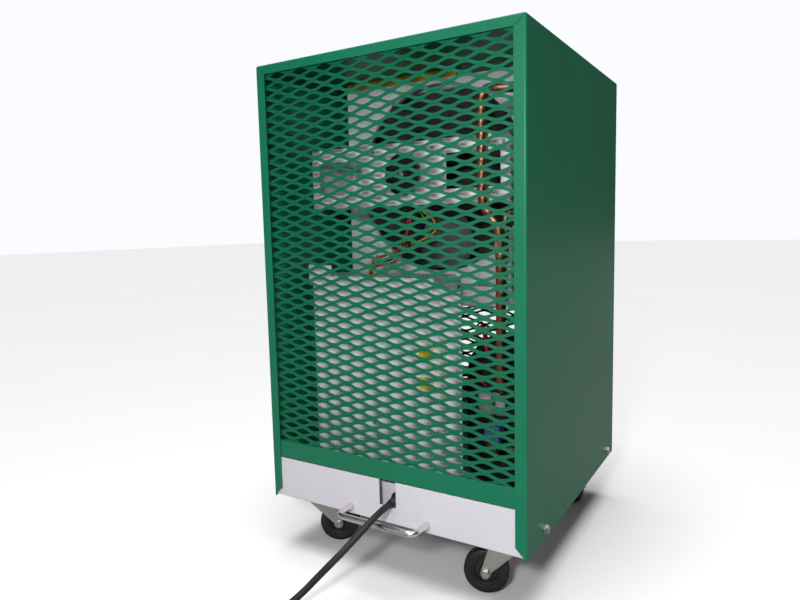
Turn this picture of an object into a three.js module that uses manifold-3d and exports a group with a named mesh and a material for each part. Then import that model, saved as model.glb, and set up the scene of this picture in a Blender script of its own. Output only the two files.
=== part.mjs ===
// An industrial dehumidifier on castors: a folded green cover with expanded metal grilles, a white base,
// a fan in a bulkhead, two finned coils, a hermetic compressor with its pipes, an electrical box,
// two swivelling and two fixed castors, a pull handle and a mains lead.
// Millimetres, +Z up, the front faces -Y. The origin is on the floor under the middle of the machine.
import * as THREE from "three";
import { mergeVertices } from "three/addons/utils/BufferGeometryUtils.js";
import Module from "manifold-3d";

const wasm = await Module();
wasm.setup();

// ---------------------------------------------------------------- driving dimensions
const GAP = 0.4; // air left between pieces that touch
const RUNNING_GAP = 0.4; // radial air around a turning shaft

const WIDTH = 503; // the folded cover, outside
const DEPTH = 533;
const HEIGHT = 790;
const COVER_SHEET = 1.6;
const SIDE_FLANGE = 19;
const TOP_FLANGE = 16;

const RAIL_BOTTOM = 78; // above the cover's lower edge
const RAIL_HEIGHT = 33;
const RAIL_LIP = 14;
const GRILLE_SHEET = 1.6;
const GRILLE_BORDER = 9; // plain edge of the expanded metal, hidden behind the flanges
const GRILLE_COLUMNS = 5;
const GRILLE_ROWS = 12;
const GRILLE_STRAND = 12;

const BASE_SHEET = 2;
const BASE_RISE = 3; // the base's underside above the cover's lower edge
const BASE_SIDE_WALL = 44;
const SLOT_LEFT = -13; // the cord's notch in the front of the base
const SLOT_RIGHT = 20;
const SLOT_BOTTOM = 33;

const BOLT_RADIUS = 4;
const BOLT_HEAD = 7.2;
const BOLT_INSET_FRONT = 83;
const BOLT_INSET_REAR = 53;
const BOLT_HEIGHT = 17.5;

const HANDLE_ROD = 5.5; // radius
const HANDLE_PITCH = 152;
const HANDLE_CENTRE = 4.5;
const HANDLE_REACH = 41; // from the front plane to the middle of the bar
const HANDLE_HEIGHT = 19;
const HANDLE_BEND = 17;
const STUD_RADIUS = 4;
const NUT_RADIUS = 7.5;
const NUT_HEIGHT = 6;

const WHEEL_RADIUS = 37.5;
const WHEEL_WIDTH = 24;
const RIM_RADIUS = 23;
const AXLE_RADIUS = 4;
const CASTOR_HEIGHT = 103;
const CASTOR_TRAIL = 31;
const CASTOR_INSET_X = 62.5; // from the cover's side to the castor's middle
const CASTOR_INSET_Y = 68;
const CASTOR_PLATE = [92, 66, 3];
const CASTOR_HOLES = [74, 48]; // spacing of the four holes in the plate
const CASTOR_HOLE_RADIUS = 4.2;
const KINGPIN_RADIUS = 5;
const FORK_SHEET = 2.6;
const FRONT_CASTOR_TURN = { left: 28, right: 198 }; // degrees, where each front wheel trails

const FAN_RADIUS = 170;
const FAN_TIP_GAP = 7;
const FAN_BLADES = 5;
const FAN_HUB_RADIUS = 36;
const FAN_PITCH = 27; // degrees
const PLATE_SHEET = 1.6;
const PLATE_MARGIN = 28; // bulkhead outside the fan opening, at its sides
const PLATE_MARGIN_TOP = 5;
const PLATE_HEIGHT = 379;
const PLATE_Y = 208;
const PLATE_FLANGE = 22;
const FOAM_LENGTH = 245;
const FOAM_HEIGHT = 14;
const FOAM_DEPTH = 20;

const BRACKET_Y = 79;
const BRACKET_SHEET = 2;
const BRACKET_HEIGHT = 106;
const BRACKET_MARGIN = 8; // the bulkhead's side edge to the bracket's arm
const BRACKET_FOOT = 15;
const BRACKET_HOLE = 36;
const BRACKET_WEB = 48; // plain sheet between the motor's hole and a window
const BRACKET_EDGE = 17; // plain sheet between a window and the arm
const BRACKET_WINDOW_HEIGHT = 58;
const MOTOR_RADIUS = 46;
const MOTOR_LENGTH = 86;
const SHAFT_RADIUS = 6;

const HOUSING_SHEET = 1.2;
const HOUSING_BACK = 440;
const HOUSING_LEG = 80;
const COIL_MARGIN = 12;
const CONDENSER = [272, 60]; // nearest face and thickness
const EVAPORATOR = [352, 66];
const TRAY_DEPTH = 46;
const HOSE_RADIUS = 8;
const DRAIN_X = -150;
const DRAIN_HEIGHT = 45;
const DRAIN_REACH = 20;

const BOX_SIDE_WIDTH = 51; // the narrow cover beside the box
const BOX_SIDE_FLANGE = 60; // how far the narrow cover folds back along the box
const BOX_DEPTH = 88;
const BOX_SHEET = 1.4;
const BOX_BOTTOM = 12;
const BOX_TOP_OVER_PLATE = 20; // the box's top above the bulkhead's lower edge
const BOX_STEP = 17;

const COMPRESSOR_RADIUS = 76;
const COMPRESSOR_INSET = 9; // from the coil housing's side, seen from the front
const COMPRESSOR_BEHIND_BOX = 7.2;
const COMPRESSOR_HEADROOM = 49;
const SUCTION_RADIUS = 6.35;
const PIPE_RADIUS = 4.8;
const LANE_GAP = 14; // from the housing to the first of two lanes of pipes
const LANE_PITCH = 20;

const CORD_RADIUS = 5.5;
const CORD_EXIT = [12, -4.5, 41]; // from the middle of the cover's lower front edge
const GLAND_RADIUS = 8;
const GLAND_TAB_Y = 26;
const COIL_INNER = 46.5; // innermost turn of the wound lead
const COIL_PITCH = 11.3;
const COIL_LAYER = 11.2;
const COIL_TURNS = 3; // in each of two layers
const COIL_CENTRE = [-30, -265];
const TIE_THICKNESS = 1.2;
const TIE_WIDTH = 14;
const PLUG_RADIUS = 19;

// ---------------------------------------------------------------- places that follow from them
const HALF = WIDTH / 2;
const INSIDE = HALF - COVER_SHEET;
const BEHIND_FLANGE = COVER_SHEET + GAP;
const RAIL_TOP = RAIL_BOTTOM + RAIL_HEIGHT;
const BASE_HALF = INSIDE - GAP;
const BASE_FLOOR = BASE_RISE + BASE_SHEET;
const GRILLE_Y = BEHIND_FLANGE + COVER_SHEET + GAP;
const FLOOR_DROP = CASTOR_HEIGHT - BASE_RISE; // the floor under the cover's lower edge
const FRONT_REACH = HANDLE_REACH + HANDLE_ROD;
const MIDDLE_Y = (DEPTH + DRAIN_REACH - FRONT_REACH) / 2;

const PLATE_TOP = HEIGHT - COVER_SHEET - FOAM_HEIGHT - 2 * GAP;
const PLATE_BOTTOM = PLATE_TOP - PLATE_HEIGHT;
const FAN_OPENING = FAN_RADIUS + FAN_TIP_GAP;
const FAN_Z = PLATE_TOP - PLATE_MARGIN_TOP - FAN_OPENING;
const PLATE_HALF = FAN_OPENING + PLATE_MARGIN;
const BRACKET_HALF = PLATE_HALF - BRACKET_MARGIN;
const BRACKET_WINDOW = [BRACKET_HOLE + BRACKET_WEB, BRACKET_HALF - BRACKET_EDGE];
const HOUSING_HALF = PLATE_HALF - PLATE_SHEET - GAP;
const HOUSING_BOTTOM = PLATE_BOTTOM + PLATE_SHEET + GAP;
const HOUSING_TOP = PLATE_TOP - PLATE_SHEET - GAP;
const TRAY_TOP = PLATE_BOTTOM - GAP;
const BOX_TOP = PLATE_BOTTOM + BOX_TOP_OVER_PLATE;
const BOX_FRONT = BRACKET_Y + BOX_SHEET + GAP;
const BOX_BACK = BOX_FRONT + BOX_DEPTH;
const COMPRESSOR_X = HOUSING_HALF - COMPRESSOR_INSET - COMPRESSOR_RADIUS;
const COMPRESSOR_Y = BOX_BACK + COMPRESSOR_BEHIND_BOX + COMPRESSOR_RADIUS;
const COMPRESSOR_FRONT = COMPRESSOR_Y - COMPRESSOR_RADIUS;
const BOX_LEFT = PLATE_HALF - 1; // to the left of the middle
const BOX_RIGHT = COMPRESSOR_X - 11;
const BOX_SEAM = BOX_RIGHT - BOX_SIDE_WIDTH;
const COMPRESSOR_TOP = TRAY_TOP - TRAY_DEPTH - COMPRESSOR_HEADROOM;

const finish = (color, roughness, metalness) =>
  new THREE.MeshStandardMaterial({ color, roughness, metalness, flatShading: true });
const GREEN_PAINT = finish(0x178060, 0.35, 0.1);
const WHITE_PAINT = finish(0xe9e6ee, 0.4, 0.05);
const ZINC = finish(0xc9c7c2, 0.35, 0.9);
const BRIGHT_STEEL = finish(0xd8d4cf, 0.2, 1);
const ALUMINIUM = finish(0xb9bcc0, 0.45, 0.9);
const COPPER = finish(0xb8683f, 0.35, 1);
const BRASS = finish(0xc9a24a, 0.35, 1);
const BLACK_PAINT = finish(0x16161a, 0.45, 0.1);
const BLACK_RUBBER = finish(0x1b1b20, 0.8, 0);
const BLACK_PLASTIC = finish(0x222226, 0.55, 0);
const GREY_PLASTIC = finish(0x8d8a96, 0.6, 0);
const BLUE_PLASTIC = finish(0x3a74b8, 0.5, 0);
const YELLOW_FOAM = finish(0xd9c02a, 0.95, 0);
const CLEAR_HOSE = finish(0xbfc4c6, 0.4, 0);
const RED_WIRE = finish(0xb3262a, 0.5, 0);

// ---------------------------------------------------------------- making solids
// Corners are snapped to a micrometre, so that faces meant to be flush are exactly flush.
function solidOf(geometry) {
  const bare = geometry.index ? geometry.toNonIndexed() : geometry.clone();
  const places = bare.attributes.position.array;
  places.forEach((value, i) => (places[i] = Math.round(value * 1000) / 1000));
  bare.deleteAttribute("normal");
  bare.deleteAttribute("uv");
  const merged = mergeVertices(bare, 1e-4);
  const corners = merged.index.array;
  const kept = [];
  for (let i = 0; i < corners.length; i += 3) {
    const [a, b, c] = [corners[i], corners[i + 1], corners[i + 2]];
    if (a !== b && b !== c && c !== a) kept.push([a, b, c]);
  }
  const made = (faces) =>
    new wasm.Manifold(
      new wasm.Mesh({
        numProp: 3,
        vertProperties: merged.attributes.position.array,
        triVerts: new Uint32Array(faces.flat()),
      }),
    );
  const solid = made(kept);
  return solid.volume() > 0 ? solid : made(kept.map(([a, b, c]) => [a, c, b]));
}

const joined = (...solids) => solids.reduce((whole, next) => whole.add(next));
const cut = (whole, ...tools) => tools.reduce((rest, tool) => rest.subtract(tool), whole);
const mirroredX = (points) => points.map(([x, z]) => [-x, z]);

function slab([x0, x1], [y0, y1], [z0, z1]) {
  const block = new THREE.BoxGeometry(x1 - x0, y1 - y0, z1 - z0);
  return solidOf(block.translate((x0 + x1) / 2, (y0 + y1) / 2, (z0 + z1) / 2));
}

function shapeOf(points, holes = []) {
  const shape = new THREE.Shape(points.map(([x, y]) => new THREE.Vector2(x, y)));
  shape.holes = holes.map((hole) => new THREE.Path(hole.map(([x, y]) => new THREE.Vector2(x, y))));
  return shape;
}

// An outline in X and Z, from y0 to y1.
function acrossY(points, [y0, y1], holes) {
  const flat = { depth: y1 - y0, bevelEnabled: false };
  const plate = new THREE.ExtrudeGeometry(shapeOf(points, holes), flat);
  return solidOf(plate.rotateX(Math.PI / 2).translate(0, y1, 0));
}

// An outline in Y and Z, from x0 to x1.
function acrossX(points, [x0, x1]) {
  const bar = new THREE.ExtrudeGeometry(shapeOf(points), { depth: x1 - x0, bevelEnabled: false });
  const turn = new THREE.Matrix4().makeBasis(
    new THREE.Vector3(0, 1, 0),
    new THREE.Vector3(0, 0, 1),
    new THREE.Vector3(1, 0, 0),
  );
  return solidOf(bar.applyMatrix4(turn).translate(x0, 0, 0));
}

const rectangle = ([x0, x1], [z0, z1]) => [[x0, z0], [x1, z0], [x1, z1], [x0, z1]];

function circle([x, z], radius, sides) {
  return Array.from({ length: sides }, (_, i) => {
    const a = ((i + 0.5) * 2 * Math.PI) / sides;
    return [x + radius * Math.cos(a), z + radius * Math.sin(a)];
  });
}

// A profile of [radius, height] turned about Y, with a flat side facing down.
function turned(profile, sides) {
  const points = profile.map(([r, y]) => new THREE.Vector2(r, y));
  return new THREE.LatheGeometry(points, sides, Math.PI / sides);
}
const aboutY = (profile, sides, [x, y, z]) => solidOf(turned(profile, sides).translate(x, y, z));
const aboutZ = (profile, sides, [x, y, z]) =>
  solidOf(turned(profile, sides).rotateX(Math.PI / 2).translate(x, y, z));
const aboutX = (profile, sides, [x, y, z]) =>
  solidOf(turned(profile, sides).rotateZ(-Math.PI / 2).translate(x, y, z));

const drum = (radius, from, to) => [[0, from], [radius, from], [radius, to], [0, to]];

const smooth = (points) =>
  new THREE.CatmullRomCurve3(points.map((p) => new THREE.Vector3(...p)), false, "centripetal");

// Straight runs between corners, each corner rounded from a bend's length before it to as far after.
function bent(corners, bend) {
  const points = corners.map((p) => new THREE.Vector3(...p));
  const route = new THREE.CurvePath();
  let from = points[0];
  for (let i = 1; i < points.length - 1; i++) {
    const towards = (other) =>
      points[i].clone().add(points[other].clone().sub(points[i]).setLength(bend));
    const [enter, leave] = [towards(i - 1), towards(i + 1)];
    route.add(new THREE.LineCurve3(from, enter));
    route.add(new THREE.QuadraticBezierCurve3(enter, points[i], leave));
    from = leave;
  }
  route.add(new THREE.LineCurve3(from, points[points.length - 1]));
  return route;
}

function pipe(extrudePath, radius, sides, steps) {
  const section = shapeOf(circle([0, 0], radius, sides));
  return solidOf(new THREE.ExtrudeGeometry(section, { steps, extrudePath }));
}

function put(group, name, solid, material) {
  const { vertProperties, triVerts } = solid.getMesh();
  const geometry = new THREE.BufferGeometry();
  geometry.setAttribute("position", new THREE.BufferAttribute(vertProperties, 3));
  geometry.setIndex(new THREE.BufferAttribute(triVerts, 1));
  const mesh = new THREE.Mesh(geometry, material);
  mesh.name = name;
  group.add(mesh);
}

// ---------------------------------------------------------------- cabinet
// Coordinates here: x from the middle, y back from the front plane, z up from the cover's lower edge.
const cabinet = new THREE.Group();
cabinet.position.set(0, -MIDDLE_Y, FLOOR_DROP);

const BOLT_PLACES = { front: BOLT_INSET_FRONT, rear: DEPTH - BOLT_INSET_REAR };
const boltHoles = (x) =>
  Object.values(BOLT_PLACES).map((y) =>
    aboutX(drum(BOLT_RADIUS + GAP, -10, 10), 12, [x, y, BOLT_HEIGHT]),
  );

function addCover() {
  const bend = HEIGHT - COVER_SHEET;
  const folded = [
    [-HALF, 0], [-INSIDE, 0], [-INSIDE, bend], [INSIDE, bend], [INSIDE, 0], [HALF, 0],
    [HALF, HEIGHT], [-HALF, HEIGHT],
  ];
  const inner = HALF - SIDE_FLANGE;
  const under = HEIGHT - TOP_FLANGE;
  const flange = [
    [-HALF, 0], [-inner, SIDE_FLANGE], [-inner, under], [inner, under], [inner, SIDE_FLANGE],
    [HALF, 0], [HALF, HEIGHT], [-HALF, HEIGHT],
  ];
  const cover = joined(
    acrossY(folded, [0, DEPTH]),
    acrossY(flange, [0, COVER_SHEET]),
    acrossY(flange, [DEPTH - COVER_SHEET, DEPTH]),
  );
  put(cabinet, "outer_cover", cut(cover, ...boltHoles(-HALF), ...boltHoles(HALF)), GREEN_PAINT);
}

function addBolts() {
  for (const [end, y] of Object.entries(BOLT_PLACES))
    for (const [side, way] of [["left", -1], ["right", 1]]) {
      const head = [
        [0, -BASE_SHEET - 10], [BOLT_RADIUS, -BASE_SHEET - 10], [BOLT_RADIUS, GAP],
        [BOLT_HEAD + 1.6, GAP], [BOLT_HEAD + 1.6, 1.8], [BOLT_HEAD, 1.8], [BOLT_HEAD, 6.4],
        [0, 6.4],
      ];
      const outward = head.map(([r, x]) => [r, x * way]);
      const bolt = aboutX(outward, 12, [way * HALF, y, BOLT_HEIGHT]);
      put(cabinet, `cover_bolt_${end}_${side}`, bolt, ZINC);
    }
}

// A grille sheet: a plain border round diamonds, coarser here than the real expanded metal.
function grille() {
  const half = HALF - SIDE_FLANGE;
  const [low, high] = [RAIL_TOP, HEIGHT - TOP_FLANGE];
  const [wide, tall] = [(2 * half) / GRILLE_COLUMNS, (high - low) / GRILLE_ROWS];
  const [a, b] = [wide / 2 - GRILLE_STRAND, (tall - GRILLE_STRAND) / 2];
  const holes = [];
  for (const [shift, fewer] of [[0, 0], [0.5, 1]])
    for (let column = 0; column < GRILLE_COLUMNS - fewer; column++)
      for (let row = 0; row < GRILLE_ROWS - fewer; row++) {
        const x = -half + (column + 0.5 + shift) * wide;
        const z = low + (row + 0.5 + shift) * tall;
        holes.push([[x - a, z], [x, z - b], [x + a, z], [x, z + b]]);
      }
  const edge = rectangle([-half - GRILLE_BORDER, half + GRILLE_BORDER], [low - 12, high + 8]);
  return { edge, holes };
}

function addEnds() {
  const lip = BEHIND_FLANGE + RAIL_LIP;
  const face = BEHIND_FLANGE + COVER_SHEET;
  const section = [
    [BEHIND_FLANGE, RAIL_BOTTOM], [lip, RAIL_BOTTOM], [lip, RAIL_BOTTOM + COVER_SHEET],
    [face, RAIL_BOTTOM + COVER_SHEET], [face, RAIL_TOP], [BEHIND_FLANGE, RAIL_TOP],
  ];
  const length = HALF - SIDE_FLANGE + GRILLE_BORDER;
  const mirrored = section.map(([y, z]) => [DEPTH - y, z]);
  put(cabinet, "front_lower_rail", acrossX(section, [-length, length]), GREEN_PAINT);
  put(cabinet, "rear_lower_rail", acrossX(mirrored, [-length, length]), GREEN_PAINT);
  const { edge, holes } = grille();
  const front = [GRILLE_Y, GRILLE_Y + GRILLE_SHEET];
  const rear = [DEPTH - front[1], DEPTH - front[0]];
  put(cabinet, "front_grille", acrossY(edge, front, holes), GREEN_PAINT);
  put(cabinet, "rear_grille", acrossY(edge, rear, holes), GREEN_PAINT);
}

function addBase() {
  const [front, back] = [BEHIND_FLANGE, DEPTH - BEHIND_FLANGE];
  const wallTop = RAIL_BOTTOM - GAP;
  const across = [-BASE_HALF, BASE_HALF];
  const tabX = [CORD_EXIT[0] - 24, CORD_EXIT[0] + 24];
  const tray = joined(
    slab(across, [front, back], [BASE_RISE, BASE_FLOOR]),
    slab(across, [front, front + BASE_SHEET], [BASE_RISE, wallTop]),
    slab(across, [back - BASE_SHEET, back], [BASE_RISE, wallTop]),
    slab([-BASE_HALF, -BASE_HALF + BASE_SHEET], [front, back], [BASE_RISE, BASE_SIDE_WALL]),
    slab([BASE_HALF - BASE_SHEET, BASE_HALF], [front, back], [BASE_RISE, BASE_SIDE_WALL]),
    slab(tabX, [GLAND_TAB_Y, GLAND_TAB_Y + BASE_SHEET], [BASE_RISE, CORD_EXIT[2] + 22]),
  );
  const [gland, drain] = [[CORD_EXIT[0], GLAND_TAB_Y, CORD_EXIT[2]], [DRAIN_X, back, DRAIN_HEIGHT]];
  const holes = [
    slab([SLOT_LEFT, SLOT_RIGHT], [front - 5, front + BASE_SHEET + 5], [SLOT_BOTTOM, wallTop + 5]),
    aboutY(drum(GLAND_RADIUS + GAP, -5, 5), 16, gland),
    aboutY(drum(HOSE_RADIUS + GAP, -5, 5), 16, drain),
    ...boltHoles(-BASE_HALF),
    ...boltHoles(BASE_HALF),
    ...[-1, 1].map((way) => {
      const x = HANDLE_CENTRE + (way * HANDLE_PITCH) / 2;
      return aboutY(drum(STUD_RADIUS + GAP, -5, 5), 12, [x, front, HANDLE_HEIGHT]);
    }),
  ];
  put(cabinet, "base_tray", cut(tray, ...holes), WHITE_PAINT);
}

function addHandle() {
  const [left, right] = [-1, 1].map((way) => HANDLE_CENTRE + (way * HANDLE_PITCH) / 2);
  const shoulder = BEHIND_FLANGE - GAP;
  const corners = [
    [left, shoulder, HANDLE_HEIGHT], [left, -HANDLE_REACH, HANDLE_HEIGHT],
    [right, -HANDLE_REACH, HANDLE_HEIGHT], [right, shoulder, HANDLE_HEIGHT],
  ];
  const bar = pipe(bent(corners, HANDLE_BEND), HANDLE_ROD, 8, 28);
  const inside = BEHIND_FLANGE + BASE_SHEET + GAP;
  const ends = [left, right].map((x) => {
    const stud = drum(STUD_RADIUS, shoulder - 2, inside + 1);
    const nut = drum(NUT_RADIUS, inside, inside + NUT_HEIGHT);
    const place = [x, 0, HANDLE_HEIGHT];
    return joined(aboutY(stud, 12, place), aboutY(nut, 6, place));
  });
  put(cabinet, "handle", joined(bar, ...ends), BRIGHT_STEEL);
}

// ---------------------------------------------------------------- castors
// Each castor's own frame: origin on the base's underside over its middle, x the way its wheel trails.
const WHEEL_DROP = CASTOR_HEIGHT - WHEEL_RADIUS;
const LEG_INSIDE = WHEEL_WIDTH / 2 + 2.5;
const LEG_OUTSIDE = LEG_INSIDE + FORK_SHEET;
const RACE_TOP = -CASTOR_PLATE[2] - 2 * GAP;
const CROWN = [RACE_TOP - 8, RACE_TOP - 5];
const CROWN_REACH = 22;
const AXLE_EYE = 8.5;

function forkLegs(trail) {
  const top = CROWN[1];
  const around = Array.from({ length: 7 }, (_, i) => {
    const a = ((10 - i * 33) * Math.PI) / 180;
    return [trail + AXLE_EYE * Math.cos(a), -WHEEL_DROP + AXLE_EYE * Math.sin(a)];
  });
  const leg = [[-CROWN_REACH, top], [CROWN_REACH, top], ...around, [-CROWN_REACH, top - 14]];
  const legs = [[LEG_INSIDE, LEG_OUTSIDE], [-LEG_OUTSIDE, -LEG_INSIDE]].map((y) => acrossY(leg, y));
  const crown = slab([-CROWN_REACH, CROWN_REACH], [-LEG_OUTSIDE, LEG_OUTSIDE], CROWN);
  const hole = aboutY(drum(AXLE_RADIUS + GAP, -30, 30), 12, [trail, 0, -WHEEL_DROP]);
  return cut(joined(crown, ...legs), hole);
}

function castorPlate() {
  const [long, wide, thick] = CASTOR_PLATE;
  const plate = slab([-long / 2, long / 2], [-wide / 2, wide / 2], [-thick - GAP, -GAP]);
  const holes = [[1, 1], [1, -1], [-1, 1], [-1, -1]].map(([a, b]) => {
    const place = [(a * CASTOR_HOLES[0]) / 2, (b * CASTOR_HOLES[1]) / 2, 0];
    return aboutZ(drum(CASTOR_HOLE_RADIUS, -10, 10), 8, place);
  });
  return cut(plate, ...holes);
}

function addWheel(group, name, trail) {
  const place = [trail, 0, -WHEEL_DROP];
  const outer = WHEEL_RADIUS / Math.cos(Math.PI / 24);
  const bore = AXLE_RADIUS + RUNNING_GAP;
  const half = WHEEL_WIDTH / 2;
  const tyre = [
    [RIM_RADIUS + GAP, -half + 1], [outer - 6, -half], [outer, -half + 5], [outer, half - 5],
    [outer - 6, half], [RIM_RADIUS + GAP, half - 1], [RIM_RADIUS + GAP, -half + 1],
  ];
  const centre = [
    [bore, -half - 1], [11, -half - 1], [RIM_RADIUS, -half + 4], [RIM_RADIUS, half - 4],
    [11, half + 1], [bore, half + 1], [bore, -half - 1],
  ];
  put(group, `${name}_tyre`, aboutY(tyre, 24, place), BLACK_RUBBER);
  put(group, `${name}_wheel_centre`, aboutY(centre, 12, place), BLACK_PLASTIC);
  const ends = LEG_OUTSIDE + GAP;
  const axle = joined(
    aboutY(drum(AXLE_RADIUS, -ends - 3, ends + 3), 12, place),
    aboutY(drum(7, -ends - 5, -ends), 6, place),
    aboutY(drum(7, ends, ends + 5), 6, place),
  );
  put(group, `${name}_axle`, axle, ZINC);
}

function addCastors() {
  const x = HALF - CASTOR_INSET_X;
  const place = (end, side) =>
    new THREE.Vector3(
      side === "left" ? -x : x,
      end === "front" ? CASTOR_INSET_Y : DEPTH - CASTOR_INSET_Y,
      BASE_RISE,
    );
  for (const side of ["left", "right"]) {
    const fixed = new THREE.Group();
    fixed.position.copy(place("front", side));
    cabinet.add(fixed);
    const pin = aboutZ(
      [
        [0, CROWN[0] - GAP - 3], [9, CROWN[0] - GAP - 3], [9, CROWN[0] - GAP],
        [KINGPIN_RADIUS, CROWN[0] - GAP], [KINGPIN_RADIUS, -GAP], [0, -GAP],
      ],
      12,
      [0, 0, 0],
    );
    put(fixed, `front_${side}_castor_plate`, joined(castorPlate(), pin), ZINC);
    const swivel = new THREE.Group();
    swivel.rotation.z = (FRONT_CASTOR_TURN[side] * Math.PI) / 180;
    fixed.add(swivel);
    const bowl = [[0, CROWN[1] - 1], [24, CROWN[1] - 1], [21, RACE_TOP], [0, RACE_TOP]];
    const race = aboutZ(bowl, 16, [0, 0, 0]);
    const eye = aboutZ(drum(KINGPIN_RADIUS + RUNNING_GAP, -40, 10), 12, [0, 0, 0]);
    put(swivel, `front_${side}_fork`, cut(joined(forkLegs(CASTOR_TRAIL), race), eye), ZINC);
    addWheel(swivel, `front_${side}`, CASTOR_TRAIL);

    const rear = new THREE.Group();
    rear.position.copy(place("rear", side));
    rear.rotation.z = Math.PI / 2;
    cabinet.add(rear);
    const post = slab([-16, 16], [-LEG_INSIDE, LEG_INSIDE], [CROWN[0], -CASTOR_PLATE[2]]);
    put(rear, `rear_${side}_fork`, joined(castorPlate(), post, forkLegs(0)), ZINC);
    addWheel(rear, `rear_${side}`, 0);
  }
}

// ---------------------------------------------------------------- fan and bulkhead
function addBulkhead() {
  const sheet = [PLATE_Y, PLATE_Y + PLATE_SHEET];
  const deep = [PLATE_Y, PLATE_Y + PLATE_FLANGE];
  const tall = [PLATE_BOTTOM, PLATE_TOP];
  const wide = [-PLATE_HALF, PLATE_HALF];
  const opening = circle([0, FAN_Z], FAN_OPENING, 40);
  const face = acrossY(rectangle(wide, tall), sheet, [opening]);
  const plate = joined(
    face,
    slab(wide, deep, [PLATE_TOP - PLATE_SHEET, PLATE_TOP]),
    slab(wide, deep, [PLATE_BOTTOM, PLATE_BOTTOM + PLATE_SHEET]),
    slab([-PLATE_HALF, -PLATE_HALF + PLATE_SHEET], deep, tall),
    slab([PLATE_HALF - PLATE_SHEET, PLATE_HALF], deep, tall),
    slab([-PLATE_HALF, -PLATE_HALF + 40], sheet, [BASE_FLOOR + GAP, PLATE_BOTTOM + 1]),
  );
  put(cabinet, "fan_bulkhead", plate, WHITE_PAINT);
  const foam = slab(
    [-PLATE_HALF, FOAM_LENGTH - PLATE_HALF],
    [PLATE_Y, PLATE_Y + FOAM_DEPTH],
    [PLATE_TOP + GAP, PLATE_TOP + GAP + FOAM_HEIGHT],
  );
  put(cabinet, "foam_strip", foam, YELLOW_FOAM);
}

function addMotor() {
  const tall = [FAN_Z - BRACKET_HEIGHT / 2, FAN_Z + BRACKET_HEIGHT / 2];
  const windowTall = [FAN_Z - BRACKET_WINDOW_HEIGHT / 2, FAN_Z + BRACKET_WINDOW_HEIGHT / 2];
  const window = rectangle(BRACKET_WINDOW, windowTall);
  const foot = [PLATE_Y - GAP - BRACKET_SHEET, PLATE_Y - GAP];
  const face = acrossY(
    rectangle([-BRACKET_HALF, BRACKET_HALF], tall),
    [BRACKET_Y, BRACKET_Y + BRACKET_SHEET],
    [circle([0, FAN_Z], BRACKET_HOLE, 24), window, mirroredX(window)],
  );
  const arms = [-1, 1].map((way) => {
    const span = (a, b) => [way * a, way * b].sort((p, q) => p - q);
    return joined(
      slab(span(BRACKET_HALF - BRACKET_SHEET, BRACKET_HALF), [BRACKET_Y, foot[1]], tall),
      slab(span(BRACKET_HALF - BRACKET_FOOT, BRACKET_HALF), foot, tall),
    );
  });
  put(cabinet, "motor_bracket", joined(face, ...arms), WHITE_PAINT);

  const front = BRACKET_Y + BRACKET_SHEET + GAP;
  const back = front + MOTOR_LENGTH;
  const nose = BRACKET_HOLE - 5;
  const hubFront = PLATE_Y - 22;
  const motor = [
    [0, front - 7], [SHAFT_RADIUS - 1, front - 7], [SHAFT_RADIUS - 1, front - 1], [nose - 4, front - 1],
    [nose, front + 3], [MOTOR_RADIUS, front + 3], [MOTOR_RADIUS, back - 12], [MOTOR_RADIUS - 14, back],
    [SHAFT_RADIUS, back], [SHAFT_RADIUS, hubFront + 24], [0, hubFront + 24],
  ];
  put(cabinet, "fan_motor", aboutY(motor, 24, [0, 0, FAN_Z]), BLACK_PAINT);

  const bore = SHAFT_RADIUS + RUNNING_GAP;
  const hub = [
    [0, hubFront + 38], [FAN_HUB_RADIUS - 4, hubFront + 38], [FAN_HUB_RADIUS, hubFront + 34],
    [FAN_HUB_RADIUS, hubFront], [bore, hubFront], [bore, hubFront + 25], [0, hubFront + 25],
  ];
  const blade = shapeOf([
    [FAN_HUB_RADIUS - 7, -17], [FAN_RADIUS * 0.55, -46], [FAN_RADIUS * 0.9, -54],
    [FAN_RADIUS * 0.975, -38], [FAN_RADIUS * 0.99, 0], [FAN_RADIUS * 0.95, 42],
    [FAN_RADIUS * 0.6, 32], [FAN_HUB_RADIUS - 7, 16],
  ]);
  const middle = hubFront + 19;
  const blades = Array.from({ length: FAN_BLADES }, (_, i) => {
    const flat = new THREE.ExtrudeGeometry(blade, { depth: 2, bevelEnabled: false });
    flat.translate(0, 0, -1).rotateX(Math.PI / 2 + (FAN_PITCH * Math.PI) / 180);
    flat.rotateY((i * 2 * Math.PI) / FAN_BLADES + 0.2);
    return solidOf(flat.translate(0, middle, FAN_Z));
  });
  const rotor = joined(aboutY(hub, 20, [0, 0, FAN_Z]), ...blades);
  put(cabinet, "fan_rotor", rotor, GREY_PLASTIC);
}

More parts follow.
